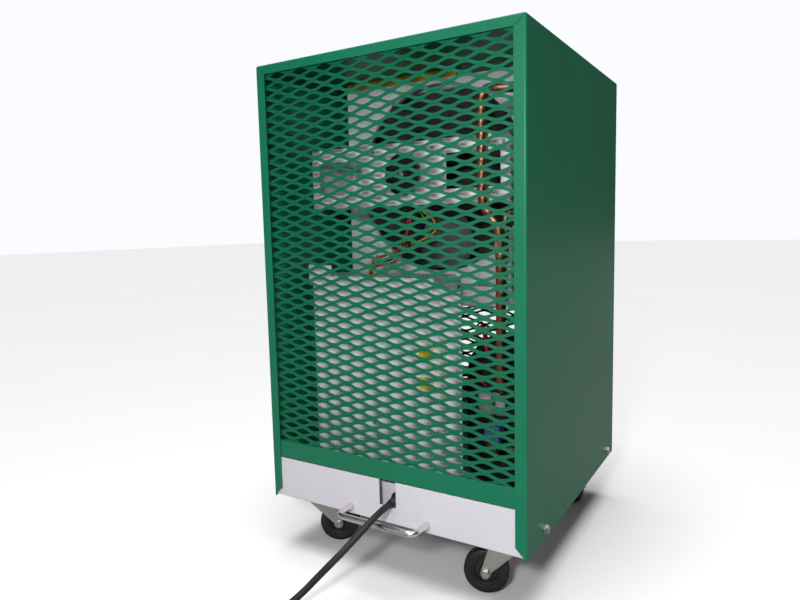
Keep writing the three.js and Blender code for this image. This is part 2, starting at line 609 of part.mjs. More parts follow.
// ---------------------------------------------------------------- coils and drain
function addCoils() {
  const outer = [[-HOUSING_HALF, HOUSING_HALF], [HOUSING_BOTTOM, HOUSING_TOP]];
  const inner = outer.map(([a, b]) => [a + HOUSING_SHEET, b - HOUSING_SHEET]);
  const front = PLATE_Y + PLATE_SHEET + GAP;
  const legTall = [BASE_FLOOR + GAP, HOUSING_BOTTOM + 1];
  const legDeep = [HOUSING_BACK - HOUSING_LEG, HOUSING_BACK];
  const housing = joined(
    acrossY(rectangle(...outer), [front, HOUSING_BACK], [rectangle(...inner)]),
    slab([-HOUSING_HALF, -HOUSING_HALF + HOUSING_SHEET], legDeep, legTall),
    slab([HOUSING_HALF - HOUSING_SHEET, HOUSING_HALF], legDeep, legTall),
  );
  put(cabinet, "coil_housing", housing, WHITE_PAINT);

  const half = HOUSING_HALF - HOUSING_SHEET - GAP;
  const tall = [HOUSING_BOTTOM + HOUSING_SHEET + GAP, HOUSING_TOP - HOUSING_SHEET - GAP];
  for (const [name, [near, thick]] of [["condenser_coil", CONDENSER], ["evaporator_coil", EVAPORATOR]]) {
    const deep = [near, near + thick];
    const fins = [near + 2, near + thick - 2];
    const ends = half - COIL_MARGIN;
    const coil = joined(
      slab([-ends, ends], fins, [tall[0] + 3, tall[1] - 3]),
      slab([-ends - 1.5, -ends + 0.5], deep, tall),
      slab([ends - 0.5, ends + 1.5], deep, tall),
    );
    put(cabinet, name, coil, ALUMINIUM);
  }

  const trayHalf = HOUSING_HALF - HOUSING_SHEET - 4;
  const trayDeep = [PLATE_Y + PLATE_FLANGE + 4, HOUSING_BACK - 4];
  const trayTall = [TRAY_TOP - TRAY_DEPTH, TRAY_TOP];
  const hollow = slab(
    [-trayHalf + 1.5, trayHalf - 1.5],
    [trayDeep[0] + 1.5, trayDeep[1] - 1.5],
    [trayTall[0] + 1.5, trayTall[1] + 5],
  );
  const outlet = [DRAIN_X, HOUSING_BACK - 40, trayTall[0]];
  const stub = aboutZ(drum(HOSE_RADIUS, -14, 1), 12, outlet);
  const well = aboutZ(drum(HOSE_RADIUS - 2, -20, 5), 12, outlet);
  const tray = cut(joined(slab([-trayHalf, trayHalf], trayDeep, trayTall), stub), hollow, well);
  put(cabinet, "drip_tray", tray, WHITE_PAINT);

  const wall = DEPTH - BEHIND_FLANGE;
  const spigot = [
    [0, -30], [HOSE_RADIUS, -30], [HOSE_RADIUS, -BASE_SHEET - 6], [13, -BASE_SHEET - 6],
    [13, -BASE_SHEET - GAP], [HOSE_RADIUS, -BASE_SHEET - GAP], [HOSE_RADIUS, GAP], [12, GAP],
    [12, 5], [HOSE_RADIUS, 5], [HOSE_RADIUS, DRAIN_REACH + BEHIND_FLANGE],
    [0, DRAIN_REACH + BEHIND_FLANGE],
  ];
  const bore = aboutY(drum(HOSE_RADIUS - 2.5, -40, 40), 12, [DRAIN_X, wall, DRAIN_HEIGHT]);
  const barb = cut(aboutY(spigot, 16, [DRAIN_X, wall, DRAIN_HEIGHT]), bore);
  put(cabinet, "drain_spigot", barb, BLACK_PLASTIC);
  const top = trayTall[0] - 14 - GAP;
  const hose = [
    [DRAIN_X, outlet[1], top], [DRAIN_X, outlet[1], top - 50], [DRAIN_X, outlet[1] + 4, (top + 80) / 2 + 20],
    [DRAIN_X, outlet[1] + 12, DRAIN_HEIGHT + 70], [DRAIN_X, outlet[1] + 30, DRAIN_HEIGHT + 22],
    [DRAIN_X, outlet[1] + 62, DRAIN_HEIGHT], [DRAIN_X, wall - 30 - GAP, DRAIN_HEIGHT],
  ];
  put(cabinet, "drain_hose", pipe(smooth(hose), HOSE_RADIUS, 8, 22), CLEAR_HOSE);
}

// ---------------------------------------------------------------- refrigeration
// Pipes run up between the housing and the cover in two lanes.
const INNER_LANE = HOUSING_HALF + LANE_GAP;
const OUTER_LANE = INNER_LANE + LANE_PITCH;
const COMPRESSOR_SIDE_Z = COMPRESSOR_TOP - 96;

function addCompressor() {
  const top = COMPRESSOR_TOP;
  const shell = [
    [0, 22], [COMPRESSOR_RADIUS - 16, 22], [COMPRESSOR_RADIUS - 3, 34], [COMPRESSOR_RADIUS, 50],
    [COMPRESSOR_RADIUS, top - 78], [COMPRESSOR_RADIUS - 3, top - 58], [COMPRESSOR_RADIUS - 20, top - 24],
    [COMPRESSOR_RADIUS - 50, top - 5], [0, top],
  ];
  const reach = COMPRESSOR_RADIUS * 0.9;
  const feet = [[1, 1], [1, -1], [-1, 1], [-1, -1]].map(([a, b]) => {
    const place = [COMPRESSOR_X + a * (reach - 10), COMPRESSOR_Y + b * (reach - 10), 0];
    return aboutZ(drum(9, BASE_FLOOR + GAP, 18), 10, place);
  });
  const foot = slab(
    [COMPRESSOR_X - reach, COMPRESSOR_X + reach],
    [COMPRESSOR_Y - reach, COMPRESSOR_Y + reach],
    [16, 19],
  );
  const skirt = aboutZ(drum(COMPRESSOR_RADIUS - 24, 18, 26), 20, [COMPRESSOR_X, COMPRESSOR_Y, 0]);
  const body = joined(aboutZ(shell, 28, [COMPRESSOR_X, COMPRESSOR_Y, 0]), foot, skirt, ...feet);
  put(cabinet, "compressor", body, BLACK_PAINT);
  const cover = slab(
    [COMPRESSOR_X - 6, COMPRESSOR_X + 38],
    [COMPRESSOR_FRONT - 24, COMPRESSOR_FRONT + 20],
    [top - 84, top - 30],
  );
  const clear = aboutZ(
    drum(COMPRESSOR_RADIUS + GAP, 0, HEIGHT), 28, [COMPRESSOR_X, COMPRESSOR_Y, 0],
  );
  put(cabinet, "compressor_terminal_cover", cut(cover, clear), BLACK_PLASTIC);
}

function addPipes() {
  const beside = HOUSING_HALF + GAP;
  const frontX = COMPRESSOR_X + 66;
  const upperX = frontX - 29;
  const before = BRACKET_Y - 16;
  const inlet = COMPRESSOR_Y - Math.sqrt(COMPRESSOR_RADIUS ** 2 - (frontX - COMPRESSOR_X) ** 2) - 6;
  const suction = bent(
    [
      [beside, EVAPORATOR[0] + 30, PLATE_TOP - 70], [OUTER_LANE, EVAPORATOR[0] + 30, PLATE_TOP - 70],
      [OUTER_LANE, before + 40, PLATE_TOP - 62], [upperX, before, PLATE_TOP - 62],
      [upperX, before, FAN_Z - BRACKET_HEIGHT / 2 - 4], [frontX, before + 4, FAN_Z - BRACKET_HEIGHT / 2 - 44],
      [frontX, before + 4, COMPRESSOR_SIDE_Z + 30], [frontX, inlet, COMPRESSOR_SIDE_Z + 30],
    ],
    20,
  );
  put(cabinet, "suction_pipe", pipe(suction, SUCTION_RADIUS, 8, 42), COPPER);

  const side = COMPRESSOR_X + COMPRESSOR_RADIUS + GAP;
  const discharge = bent(
    [
      [side, COMPRESSOR_Y, COMPRESSOR_SIDE_Z], [INNER_LANE, COMPRESSOR_Y, COMPRESSOR_SIDE_Z],
      [INNER_LANE, COMPRESSOR_Y, PLATE_BOTTOM + 100], [INNER_LANE, CONDENSER[0] + 30, PLATE_BOTTOM + 120],
      [beside, CONDENSER[0] + 30, PLATE_BOTTOM + 120],
    ],
    16,
  );
  put(cabinet, "discharge_pipe", pipe(discharge, PIPE_RADIUS, 8, 26), COPPER);

  const drier = [frontX - 4, before + 34];
  const drierTop = PLATE_BOTTOM + 62;
  const liquid = bent(
    [
      [beside, CONDENSER[0] + 30, PLATE_BOTTOM + 60], [OUTER_LANE, CONDENSER[0] + 30, PLATE_BOTTOM + 60],
      [OUTER_LANE, drier[1] + 30, PLATE_BOTTOM + 114], [...drier, PLATE_BOTTOM + 130],
      [...drier, drierTop + GAP],
    ],
    14,
  );
  put(cabinet, "liquid_pipe", pipe(liquid, PIPE_RADIUS, 8, 26), COPPER);
  const can = [
    [0, -78], [PIPE_RADIUS, -78], [PIPE_RADIUS, -68], [13, -60], [13, -14], [PIPE_RADIUS, -6],
    [PIPE_RADIUS, 0], [0, 0],
  ];
  put(cabinet, "filter_drier", aboutZ(can, 16, [...drier, drierTop]), WHITE_PAINT);

  const valve = [frontX - 44, COMPRESSOR_FRONT - 38, COMPRESSOR_SIDE_Z - 86];
  const near = (half, [x, y, z]) => [[x - half, x + half], [y - half, y + half], [z - half, z + half]];
  const body = joined(
    slab(...near(10, valve)),
    aboutZ(drum(6, 8, 46), 12, valve),
    aboutX(drum(PIPE_RADIUS, 8, 18), 10, valve),
  );
  put(cabinet, "solenoid_valve", body, BRASS);
  const coil = cut(
    slab([valve[0] - 14, valve[0] + 14], [valve[1] - 14, valve[1] + 14], [valve[2] + 11, valve[2] + 40]),
    aboutZ(drum(6 + GAP, 0, 60), 12, valve),
  );
  put(cabinet, "solenoid_coil", coil, BLUE_PLASTIC);
  const hotGas = bent(
    [
      [valve[0] + 18 + GAP, valve[1], valve[2]], [frontX + 24, valve[1], valve[2]],
      [frontX + 24, valve[1], TRAY_TOP - 20], [OUTER_LANE, valve[1] + 50, PLATE_BOTTOM + 30],
      [OUTER_LANE, EVAPORATOR[0] + 30, PLATE_BOTTOM + 34], [beside, EVAPORATOR[0] + 30, PLATE_BOTTOM + 34],
    ],
    12,
  );
  put(cabinet, "hot_gas_pipe", pipe(hotGas, PIPE_RADIUS - 1, 8, 30), COPPER);
}

// ---------------------------------------------------------------- electrical box
function addElectrics() {
  const low = BOX_BOTTOM;
  const outline = (inset) => [
    [-BOX_LEFT + inset, low + inset], [BOX_SEAM - inset, low + inset],
    [BOX_SEAM - inset, BOX_TOP - inset], [-BOX_LEFT + inset, BOX_TOP - inset],
  ];
  const wiresX = 104 - BOX_LEFT;
  const wiresY = BOX_FRONT + 40;
  const shell = cut(
    acrossY(outline(0), [BOX_FRONT, BOX_BACK]),
    acrossY(outline(BOX_SHEET), [BOX_FRONT - 5, BOX_BACK - BOX_SHEET]),
    aboutZ(drum(7, BOX_TOP - 10, BOX_TOP + 10), 12, [wiresX, wiresY, 0]),
  );
  const under = [BASE_FLOOR + GAP, low + 0.5];
  const stand = slab([-BOX_LEFT, BOX_SEAM], [BOX_BACK - 20, BOX_BACK], under);
  put(cabinet, "electrical_box", joined(shell, stand), WHITE_PAINT);

  const tab = [BOX_LEFT + 10, BOX_LEFT - 44];
  const cover = [
    [-BOX_LEFT, low], [BOX_SEAM - GAP, low], [BOX_SEAM - GAP, BOX_TOP], [-tab[1], BOX_TOP],
    [-tab[1], BOX_TOP + 20], [-tab[0], BOX_TOP + 20], [-tab[0], BOX_TOP - 19], [-BOX_LEFT, BOX_TOP - 19],
  ];
  const sheet = [BRACKET_Y, BRACKET_Y + BOX_SHEET];
  put(cabinet, "box_cover", acrossY(cover, sheet), WHITE_PAINT);
  const sideTall = [low, BOX_TOP - BOX_STEP];
  const side = joined(
    slab([BOX_SEAM + GAP, BOX_RIGHT], sheet, sideTall),
    slab([BOX_SEAM + GAP, BOX_SEAM + GAP + BOX_SHEET], [BRACKET_Y, BRACKET_Y + BOX_SIDE_FLANGE], sideTall),
  );
  put(cabinet, "box_side_cover", side, WHITE_PAINT);

  const wall = BOX_BACK - BOX_SHEET - GAP;
  const canPlace = [64 - BOX_LEFT, wall, BOX_TOP - 90];
  const can = aboutY([[0, -70], [20, -70], [22, -68], [22, 0], [0, 0]], 20, canPlace);
  put(cabinet, "run_capacitor", can, ALUMINIUM);
  const railLeft = BOX_SEAM - 126;
  const rail = slab([railLeft, railLeft + 100], [wall - 30, wall], [BOX_TOP - 150, BOX_TOP - 118]);
  const teeth = Array.from({ length: 5 }, (_, i) => {
    const left = railLeft + 8 + i * 20;
    return slab([left, left + 8], [wall - 40, wall - 29], [BOX_TOP - 144, BOX_TOP - 124]);
  });
  put(cabinet, "terminal_block", joined(rail, ...teeth), GREY_PLASTIC);

  const underMotor = [-30, BRACKET_Y + 60, FAN_Z - MOTOR_RADIUS - 6];
  const loom = [
    [wiresX, wiresY, BOX_TOP - 20], [wiresX, wiresY, BOX_TOP + 18],
    [wiresX + 14, wiresY + 6, BOX_TOP + 46], [-60, wiresY + 12, BOX_TOP + 70],
    [-38, BRACKET_Y + 60, BOX_TOP + 96], underMotor,
  ];
  put(cabinet, "wiring_loom", pipe(smooth(loom), 4, 8, 14), RED_WIRE);
}

// ---------------------------------------------------------------- mains lead
// The lead's route in the open, from the gland to where it meets the wound part on the floor.
const LEAD_ROUTE = [
  CORD_EXIT, [12, -22, 40.8], [11.5, -42, 38], [9, -62, 32], [3.5, -80, 22], [-5, -96, 9],
  [-16, -110, -6], [-30, -122, -23], [-45, -133, -41], [-59, -144, -58], [-72, -156, -72],
  [-84, -170, -83], [-94, -187, -90.5], [-99.5, -203.5, -93.2],
];

function addLead() {
  const [x, , z] = CORD_EXIT;
  const tab = GLAND_TAB_Y;
  const thread = GLAND_RADIUS;
  const gland = [
    [0, CORD_EXIT[1] + GAP], [CORD_RADIUS + 1, CORD_EXIT[1] + GAP], [thread + 0.8, tab - 8],
    [thread + 4, tab - 8], [thread + 4, tab - GAP], [thread, tab - GAP],
    [thread, tab + BASE_SHEET + GAP], [thread + 3.5, tab + BASE_SHEET + GAP],
    [thread + 3.5, tab + BASE_SHEET + 6], [0, tab + BASE_SHEET + 6],
  ];
  put(cabinet, "cable_gland", aboutY(gland, 12, [x, 0, z]), BLACK_PLASTIC);

  const [kx, ky] = COIL_CENTRE;
  const floor = -FLOOR_DROP;
  const low = floor + TIE_THICKNESS + GAP;
  const high = low + CORD_RADIUS * 2 + COIL_LAYER;
  const [inner, outer] = [COIL_INNER - CORD_RADIUS, COIL_INNER + COIL_PITCH * COIL_TURNS + CORD_RADIUS];
  const section = [
    [inner, low + 4], [inner + 4, low], [outer - 4, low], [outer, low + 4], [outer, high - 4],
    [outer - 4, high], [inner + 4, high], [inner, high - 4], [inner, low + 4],
  ];
  const ring = aboutZ(section, 36, [kx, ky, 0]);
  put(cabinet, "mains_cord", pipe(smooth(LEAD_ROUTE), CORD_RADIUS, 10, 20), BLACK_RUBBER);
  put(cabinet, "mains_cord_coil", ring, BLACK_RUBBER);

  const hollow = Math.sqrt(inner ** 2 - TIE_WIDTH ** 2) - GAP;
  const over = [outer, high].map((edge) => edge + GAP + TIE_THICKNESS);
  const loop = rectangle([hollow - TIE_THICKNESS, over[0]], [floor, over[1]]);
  const within = rectangle([hollow, outer + GAP], [low - GAP, high + GAP]);
  const strap = acrossY(loop, [-TIE_WIDTH / 2, TIE_WIDTH / 2], [within]);
  const tied = new THREE.Group();
  tied.position.set(kx, ky, 0);
  tied.rotation.z = (35 * Math.PI) / 180;
  cabinet.add(tied);
  put(tied, "cord_tie", strap, BLACK_RUBBER);

  const plug = new THREE.Group();
  plug.position.set(kx + 46, ky - (outer - CORD_RADIUS), floor + PLUG_RADIUS);
  cabinet.add(plug);
  const body = [
    [0, 0], [CORD_RADIUS + 1, 0], [CORD_RADIUS + 3.5, 28], [14, 30], [PLUG_RADIUS - 1, 40],
    [PLUG_RADIUS / Math.cos(Math.PI / 20), 44], [PLUG_RADIUS / Math.cos(Math.PI / 20), 72],
    [PLUG_RADIUS - 1.5, 74], [0, 74],
  ];
  const pins = [-1, 1].map((way) => aboutX(drum(2.4, 72, 92), 10, [0, way * 9.5, 0]));
  put(plug, "mains_plug", joined(aboutX(body, 20, [0, 0, 0]), ...pins), BLACK_PLASTIC);
}

addCover();
addBolts();
addEnds();
addBase();
addHandle();
addCastors();
addBulkhead();
addMotor();
addCoils();
addCompressor();
addPipes();
addElectrics();
addLead();

const dehumidifier = new THREE.Group();
dehumidifier.add(cabinet);
export default dehumidifier;
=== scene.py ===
# %% [markdown]
# # A dehumidifier on castors
#
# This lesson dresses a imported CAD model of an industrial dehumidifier: a green folded cover with expanded
# metal grilles, a white base, castors, a mains lead, and the fan and refrigeration parts that show through
# the grille. The CAD model is the frame. Its sizes and places are fixed, and every piece made here is put
# where the CAD says.

# %% Loading the frame
import math
import random

import bmesh
import bpy
from mathutils import Matrix, Vector
from mathutils.geometry import interpolate_bezier


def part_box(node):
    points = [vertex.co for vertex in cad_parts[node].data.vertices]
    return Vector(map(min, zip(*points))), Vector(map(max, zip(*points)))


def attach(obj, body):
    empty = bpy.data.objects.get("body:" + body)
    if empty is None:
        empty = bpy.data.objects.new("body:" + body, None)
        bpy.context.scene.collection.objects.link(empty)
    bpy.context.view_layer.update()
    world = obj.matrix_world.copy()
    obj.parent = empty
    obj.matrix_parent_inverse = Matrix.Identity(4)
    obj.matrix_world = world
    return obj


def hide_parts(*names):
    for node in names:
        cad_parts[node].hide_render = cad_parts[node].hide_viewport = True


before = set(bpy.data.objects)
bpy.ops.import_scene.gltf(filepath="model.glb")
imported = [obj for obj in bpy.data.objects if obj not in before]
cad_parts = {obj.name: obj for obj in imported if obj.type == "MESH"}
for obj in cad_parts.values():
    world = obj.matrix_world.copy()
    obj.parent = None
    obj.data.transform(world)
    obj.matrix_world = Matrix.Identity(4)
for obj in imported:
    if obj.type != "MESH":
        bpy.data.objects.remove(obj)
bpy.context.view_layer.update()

# %% [markdown]
# ## One set of coordinates
#
# The CAD model was drawn in millimetres from the middle of the cover's lower front edge: x to the right, y
# towards the back and z up. Working in the same coordinates keeps every number comparable with the drawing.
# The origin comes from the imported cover's own box, so nothing is fitted by eye.

# %% Coordinates
MM = 0.001
cover_low, cover_high = (Vector(corner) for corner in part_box("outer_cover"))
ORIGIN = Vector(((cover_low.x + cover_high.x) / 2, cover_low.y, cover_low.z))
TO_FRAME = Matrix.Translation(ORIGIN) @ Matrix.Scale(MM, 4)
WIDTH, DEPTH, HEIGHT = ((cover_high - cover_low) / MM)[:]
HALF = WIDTH / 2
FLOOR = -cover_low.z / MM


def place(point):
    """A point of the drawing, in the frame's metres."""
    return TO_FRAME @ Vector(point)


def span(node):
    """A CAD node's box in the drawing's millimetres, as its lowest and highest corners."""
    back = TO_FRAME.inverted()
    low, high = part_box(node)
    return back @ Vector(low), back @ Vector(high)


def middle(node):
    low, high = span(node)
    return (low + high) / 2


print(f"cover {WIDTH:.0f} x {DEPTH:.0f} x {HEIGHT:.0f} mm, floor {-FLOOR:.0f} mm under its edge")

# %% [markdown]
# ## The camera
#
# The camera stands in front and to the right of the machine, a little above its middle, and looks slightly
# down. A short lens close to the object gives the strong perspective of the cover's sides. The lens is
# shifted a little, because the picture's middle isn't quite the lens's middle.

# %% Camera
CAMERA_SPOT = (564.2, -839.1, 502.4)
CAMERA_TURN = math.radians(-30.996)
CAMERA_PITCH = math.radians(6.063)
CAMERA_ROLL = math.radians(-1.220)


def camera_matrix():
    flat = math.cos(CAMERA_PITCH)
    ahead = Vector(
        (math.sin(CAMERA_TURN) * flat, math.cos(CAMERA_TURN) * flat, -math.sin(CAMERA_PITCH))
    )
    level = Vector((math.cos(CAMERA_TURN), -math.sin(CAMERA_TURN), 0))
    raised = level.cross(ahead)
    right = level * math.cos(CAMERA_ROLL) + raised * math.sin(CAMERA_ROLL)
    up = raised * math.cos(CAMERA_ROLL) - level * math.sin(CAMERA_ROLL)
    turn = Matrix((right, up, -ahead)).transposed().to_4x4()
    return Matrix.Translation(place(CAMERA_SPOT)) @ turn


camera_data = bpy.data.cameras.new("camera")
camera_data.lens = 28.05
camera_data.sensor_width = 36
camera_data.shift_x = -0.0140
camera_data.shift_y = -0.0089
camera_data.clip_start = 0.01
camera = bpy.data.objects.new("camera", camera_data)
camera.matrix_world = camera_matrix()
bpy.context.collection.objects.link(camera)
bpy.context.scene.camera = camera
print("camera at", [round(v, 3) for v in camera.location])

# %% [markdown]
# ## Shader maths as Python
#
# A material is a small program of nodes. Wrapping a socket in a class with + - * / lets that program be
# written as an expression, and each operator adds its Math node. Everything that isn't arithmetic goes
# through one method, `node`, which takes the node's type, its settings and its inputs.


# %% Socket wrapper
class Value:
    """One output socket. Arithmetic on it adds Math nodes to its tree."""

    def __init__(self, tree, socket):
        self.tree = tree
        self.socket = socket

    def maths(self, operation, *values):
        made = self.tree.nodes.new("ShaderNodeMath")
        made.operation = operation
        for slot, value in zip(made.inputs, values):
            connect(self.tree, slot, value)
        return Value(self.tree, made.outputs[0])

    def __add__(self, other):
        return self.maths("ADD", self, other)

    def __radd__(self, other):
        return self.maths("ADD", other, self)

    def __sub__(self, other):
        return self.maths("SUBTRACT", self, other)

    def __rsub__(self, other):
        return self.maths("SUBTRACT", other, self)

    def __mul__(self, other):
        return self.maths("MULTIPLY", self, other)

    def __rmul__(self, other):
        return self.maths("MULTIPLY", other, self)

    def __truediv__(self, other):
        return self.maths("DIVIDE", self, other)

    def clamped(self):
        return self.maths("MAXIMUM", self.maths("MINIMUM", self, 1.0), 0.0)

    def between(self, low, high):
        """0 below low, 1 above high, and straight between them."""
        return ((self - low) / (high - low)).clamped()


def connect(tree, slot, value):
    if isinstance(value, Value):
        tree.links.new(value.socket, slot)
    elif isinstance(value, (tuple, list)) and len(value) == 3 and slot.type == "RGBA":
        slot.default_value = (*value, 1.0)
    else:
        slot.default_value = value


class Finish:
    """A material being built round one Principled BSDF."""

    def __init__(self, name, roughness, metallic=0.0, colour=(0.5, 0.5, 0.5), **fixed):
        self.material = bpy.data.materials.new(name)
        self.material.use_nodes = True
        self.tree = self.material.node_tree
        self.shader = self.tree.nodes["Principled BSDF"]
        self.set("Base Color", colour)
        self.set("Roughness", roughness)
        self.set("Metallic", metallic)
        for socket, value in fixed.items():
            self.set(socket.replace("_", " ").title().replace("Ior", "IOR"), value)

    def set(self, socket, value):
        connect(self.tree, self.shader.inputs[socket], value)

    def node(self, kind, settings=None, out=0, **inputs):
        made = self.tree.nodes.new("ShaderNode" + kind)
        for key, value in (settings or {}).items():
            setattr(made, key, value)
        for key, value in inputs.items():
            slot = made.inputs[int(key[1:])] if key[1:].isdigit() else made.inputs[key]
            connect(self.tree, slot, value)
        return Value(self.tree, made.outputs[out])

    def spots(self, scale=(1, 1, 1)):
        """The piece's own coordinates in metres, stretched by scale."""
        raw = self.node("TexCoord", out=3)
        return self.node("Mapping", Vector=raw, Scale=scale)

    def noise(self, scale, detail=2.0, roughness=0.5, stretch=(1, 1, 1)):
        return self.node(
            "TexNoise", Vector=self.spots(stretch), Scale=scale, Detail=detail, Roughness=roughness
        )

    def cells(self, scale, stretch=(1, 1, 1), feature="F1", out=0):
        return self.node(
            "TexVoronoi", {"feature": feature}, out=out, Vector=self.spots(stretch), Scale=scale
        )

    def height(self):
        """How high a point is, in metres above the floor."""
        return self.node("SeparateXYZ", out=2, Vector=self.spots())

    def mixed(self, factor, first, second):
        return self.node("Mix", {"data_type": "RGBA"}, out=2, _0=factor, _6=first, _7=second)

    def bumps(self, height, strength, distance):
        bump = self.node("Bump", Height=height, Strength=strength, Distance=distance)
        self.set("Normal", bump)


print("shader helpers ready")

# %% [markdown]
# ## Putting a piece in the model
#
# Every new piece ends the same way: its mesh is moved from drawing millimetres into the frame's metres, its
# object stays at the origin, it is hung on the CAD body it rides on, and the CAD nodes it stands for are
# hidden. One function does all of that, so no piece can miss a step.

# %% Finishing a piece
made_pieces = []


def dress(piece, finish, body, stands_for):
    piece.data.materials.append(finish)
    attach(piece, body)
    if stands_for:
        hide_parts(*stands_for)
    made_pieces.append(piece)
    return piece


def piece_from(bm, name, finish, slot, body="cabinet", stands_for=(), smooth=False, turned=None):
    """A bmesh drawn in millimetres becomes an object in the frame. turned is a local placement."""
    if turned is not None:
        bm.transform(turned)
    bm.transform(TO_FRAME)
    bmesh.ops.remove_doubles(bm, verts=bm.verts, dist=1e-6)
    bmesh.ops.recalc_face_normals(bm, faces=bm.faces)
    mesh = bpy.data.meshes.new(name)
    bm.to_mesh(mesh)
    bm.free()
    piece = bpy.data.objects.new(name, mesh)
    bpy.context.collection.objects.link(piece)
    if smooth:
        mesh.shade_smooth()
        mesh.set_sharp_from_angle(angle=math.radians(38))
    return dress(piece, finish, body, stands_for)


def thickened(piece, sheet, offset=-1.0, even=True):
    """Gives a folded sheet its thickness, inwards from its outer face. Both are millimetres."""
    wall = piece.modifiers.new("wall", "SOLIDIFY")
    wall.thickness = sheet * MM
    wall.offset = offset
    wall.use_even_offset = even
    return piece


def eased(piece, width, segments=2):
    """Rounds a piece's hard edges by width millimetres."""
    edge = piece.modifiers.new("edges", "BEVEL")
    edge.width = width * MM
    edge.segments = segments
    edge.limit_method = "ANGLE"
    edge.angle_limit = math.radians(40)
    level = piece.modifiers.new("flat_shading", "WEIGHTED_NORMAL")
    level.keep_sharp = True
    return piece


print("piece helpers ready")

# %% [markdown]
# ## Lines and tubes
#
# The mains lead, the wires and the copper pipes are round tubes on smooth lines. Each is a poly curve with a
# round bevel, because the curve's own points are then the tube's centreline, and its diameter is one number.
# A free line passes smoothly through its points. A bent pipe is straight runs with rounded corners.

# %% Lines
def smooth_line(points, steps=8):
    """A smooth line through the points, with steps places between each two of them."""
    spots = [Vector(p) for p in points]
    around = [spots[0] * 2 - spots[1], *spots, spots[-1] * 2 - spots[-2]]
    ways = [(after - before).normalized() for before, after in zip(around, around[2:])]
    line = [spots[0]]
    for a, b, way_a, way_b in zip(spots, spots[1:], ways, ways[1:]):
        third = (b - a).length / 3
        line += interpolate_bezier(a, a + way_a * third, b - way_b * third, b, steps + 1)[1:]
    return line


def bent_line(corners, bend, steps=7):
    """Straight runs, each corner rounded from a bend's length before it to as far after."""
    spots = [Vector(c) for c in corners]
    line = [spots[0]]
    for before, corner, after in zip(spots, spots[1:], spots[2:]):
        enter = corner + (before - corner).normalized() * bend
        leave = corner + (after - corner).normalized() * bend
        handles = (enter.lerp(corner, 2 / 3), leave.lerp(corner, 2 / 3))
        line += interpolate_bezier(enter, *handles, leave, steps + 1)
    return line + [spots[-1]]


def tube(name, line, radius, finish, body="cabinet", stands_for=(), sides=5):
    curve = bpy.data.curves.new(name, "CURVE")
    curve.dimensions = "3D"
    curve.bevel_depth = radius * MM
    curve.bevel_resolution = sides
    curve.use_fill_caps = True
    spline = curve.splines.new("POLY")
    spline.points.add(len(line) - 1)
    for spot, point in zip(spline.points, line):
        spot.co = (*place(point), 1)
    spline.use_smooth = True
    piece = bpy.data.objects.new(name, curve)
    bpy.context.collection.objects.link(piece)
    return dress(piece, finish, body, stands_for)


def length_of(line):
    return sum((b - a).length for a, b in zip(line, line[1:]))


print("line helpers ready")

# %% [markdown]
# ## Rubber and black plastic
#
# The lead's sheath is matt black rubber. It is never quite one black: it has a fine grain and faint dusty
# patches, which come from two noises, one for the colour and one for the roughness.


# %% Rubber and black plastic
def rubber(name, dark, dusty, grain=900.0, roughness=0.62):
    made = Finish(name, roughness)
    patch = made.noise(18.0, detail=4.0)
    made.set("Base Color", made.mixed(patch.between(0.42, 0.72), dark, dusty))
    made.set("Roughness", patch * 0.22 + (roughness - 0.1))
    made.bumps(made.noise(grain, detail=3.0), 0.25, 0.0006)
    return made.material


SHEATH = rubber("lead_sheath", (0.0085, 0.0085, 0.0095), (0.022, 0.022, 0.024))
BLACK_PLASTIC = rubber("moulded_black", (0.014, 0.014, 0.016), (0.028, 0.028, 0.031), 1500.0, 0.45)
print("rubber made")

# %% [markdown]
# ## The mains lead
#
# The lead leaves its gland straight, falls to the floor in one easy curve and lies there. What isn't in view
# is wound into a neat round coil on the floor, held with a tie, and ends in the plug. A real lead on such a
# machine is about three metres, 11 mm thick with its three cores. The open stretch is a list of points chosen
# as someone would lay it, and the coil's turns are worked out: three turns inwards along the floor,
# one short climb, and three turns outwards on top of them.

# %% The lead's line
CORD_RADIUS = 5.5
LEAD_ROUTE = [
    (12, -4.5, 41), (12, -22, 40.8), (11.5, -42, 38), (9, -62, 32), (3.5, -80, 22), (-5, -96, 9),
    (-16, -110, -6), (-30, -122, -23), (-45, -133, -41), (-59, -144, -58), (-72, -156, -72),
    (-84, -170, -83), (-94, -187, -90.5), (-99.5, -203.5, -93.2),
]
COIL_CENTRE = Vector((-30, -265, 0))
COIL_INNER = 46.5
COIL_PITCH = 11.3
COIL_LAYER = 11.2
COIL_TURNS = 3
COIL_ENTRY = 168.5
COIL_CLIMB = 101.5
COIL_LOW = -92.9
PLUG_END = Vector((16, -345.4, -81))


def coil_line():
    """Inwards on the floor, up by one layer, and outwards on top, counter-clockwise from above."""
    outer = COIL_INNER + COIL_PITCH * COIL_TURNS
    wound = 360 * COIL_TURNS
    line = []
    for step in range(0, int(2 * wound + COIL_CLIMB), 12):
        inwards = min(step / wound, 1)
        climb = min(max((step - wound) / COIL_CLIMB, 0), 1)
        outwards = max((step - wound - COIL_CLIMB) / wound, 0)
        radius = outer - (outer - COIL_INNER) * (inwards - outwards)
        rise = COIL_LAYER * climb * climb * (3 - 2 * climb)
        turn = math.radians(COIL_ENTRY + step)
        across = Vector((math.cos(turn), math.sin(turn), 0)) * radius
        line.append(COIL_CENTRE + across + Vector((0, 0, COIL_LOW + rise)))
    return line


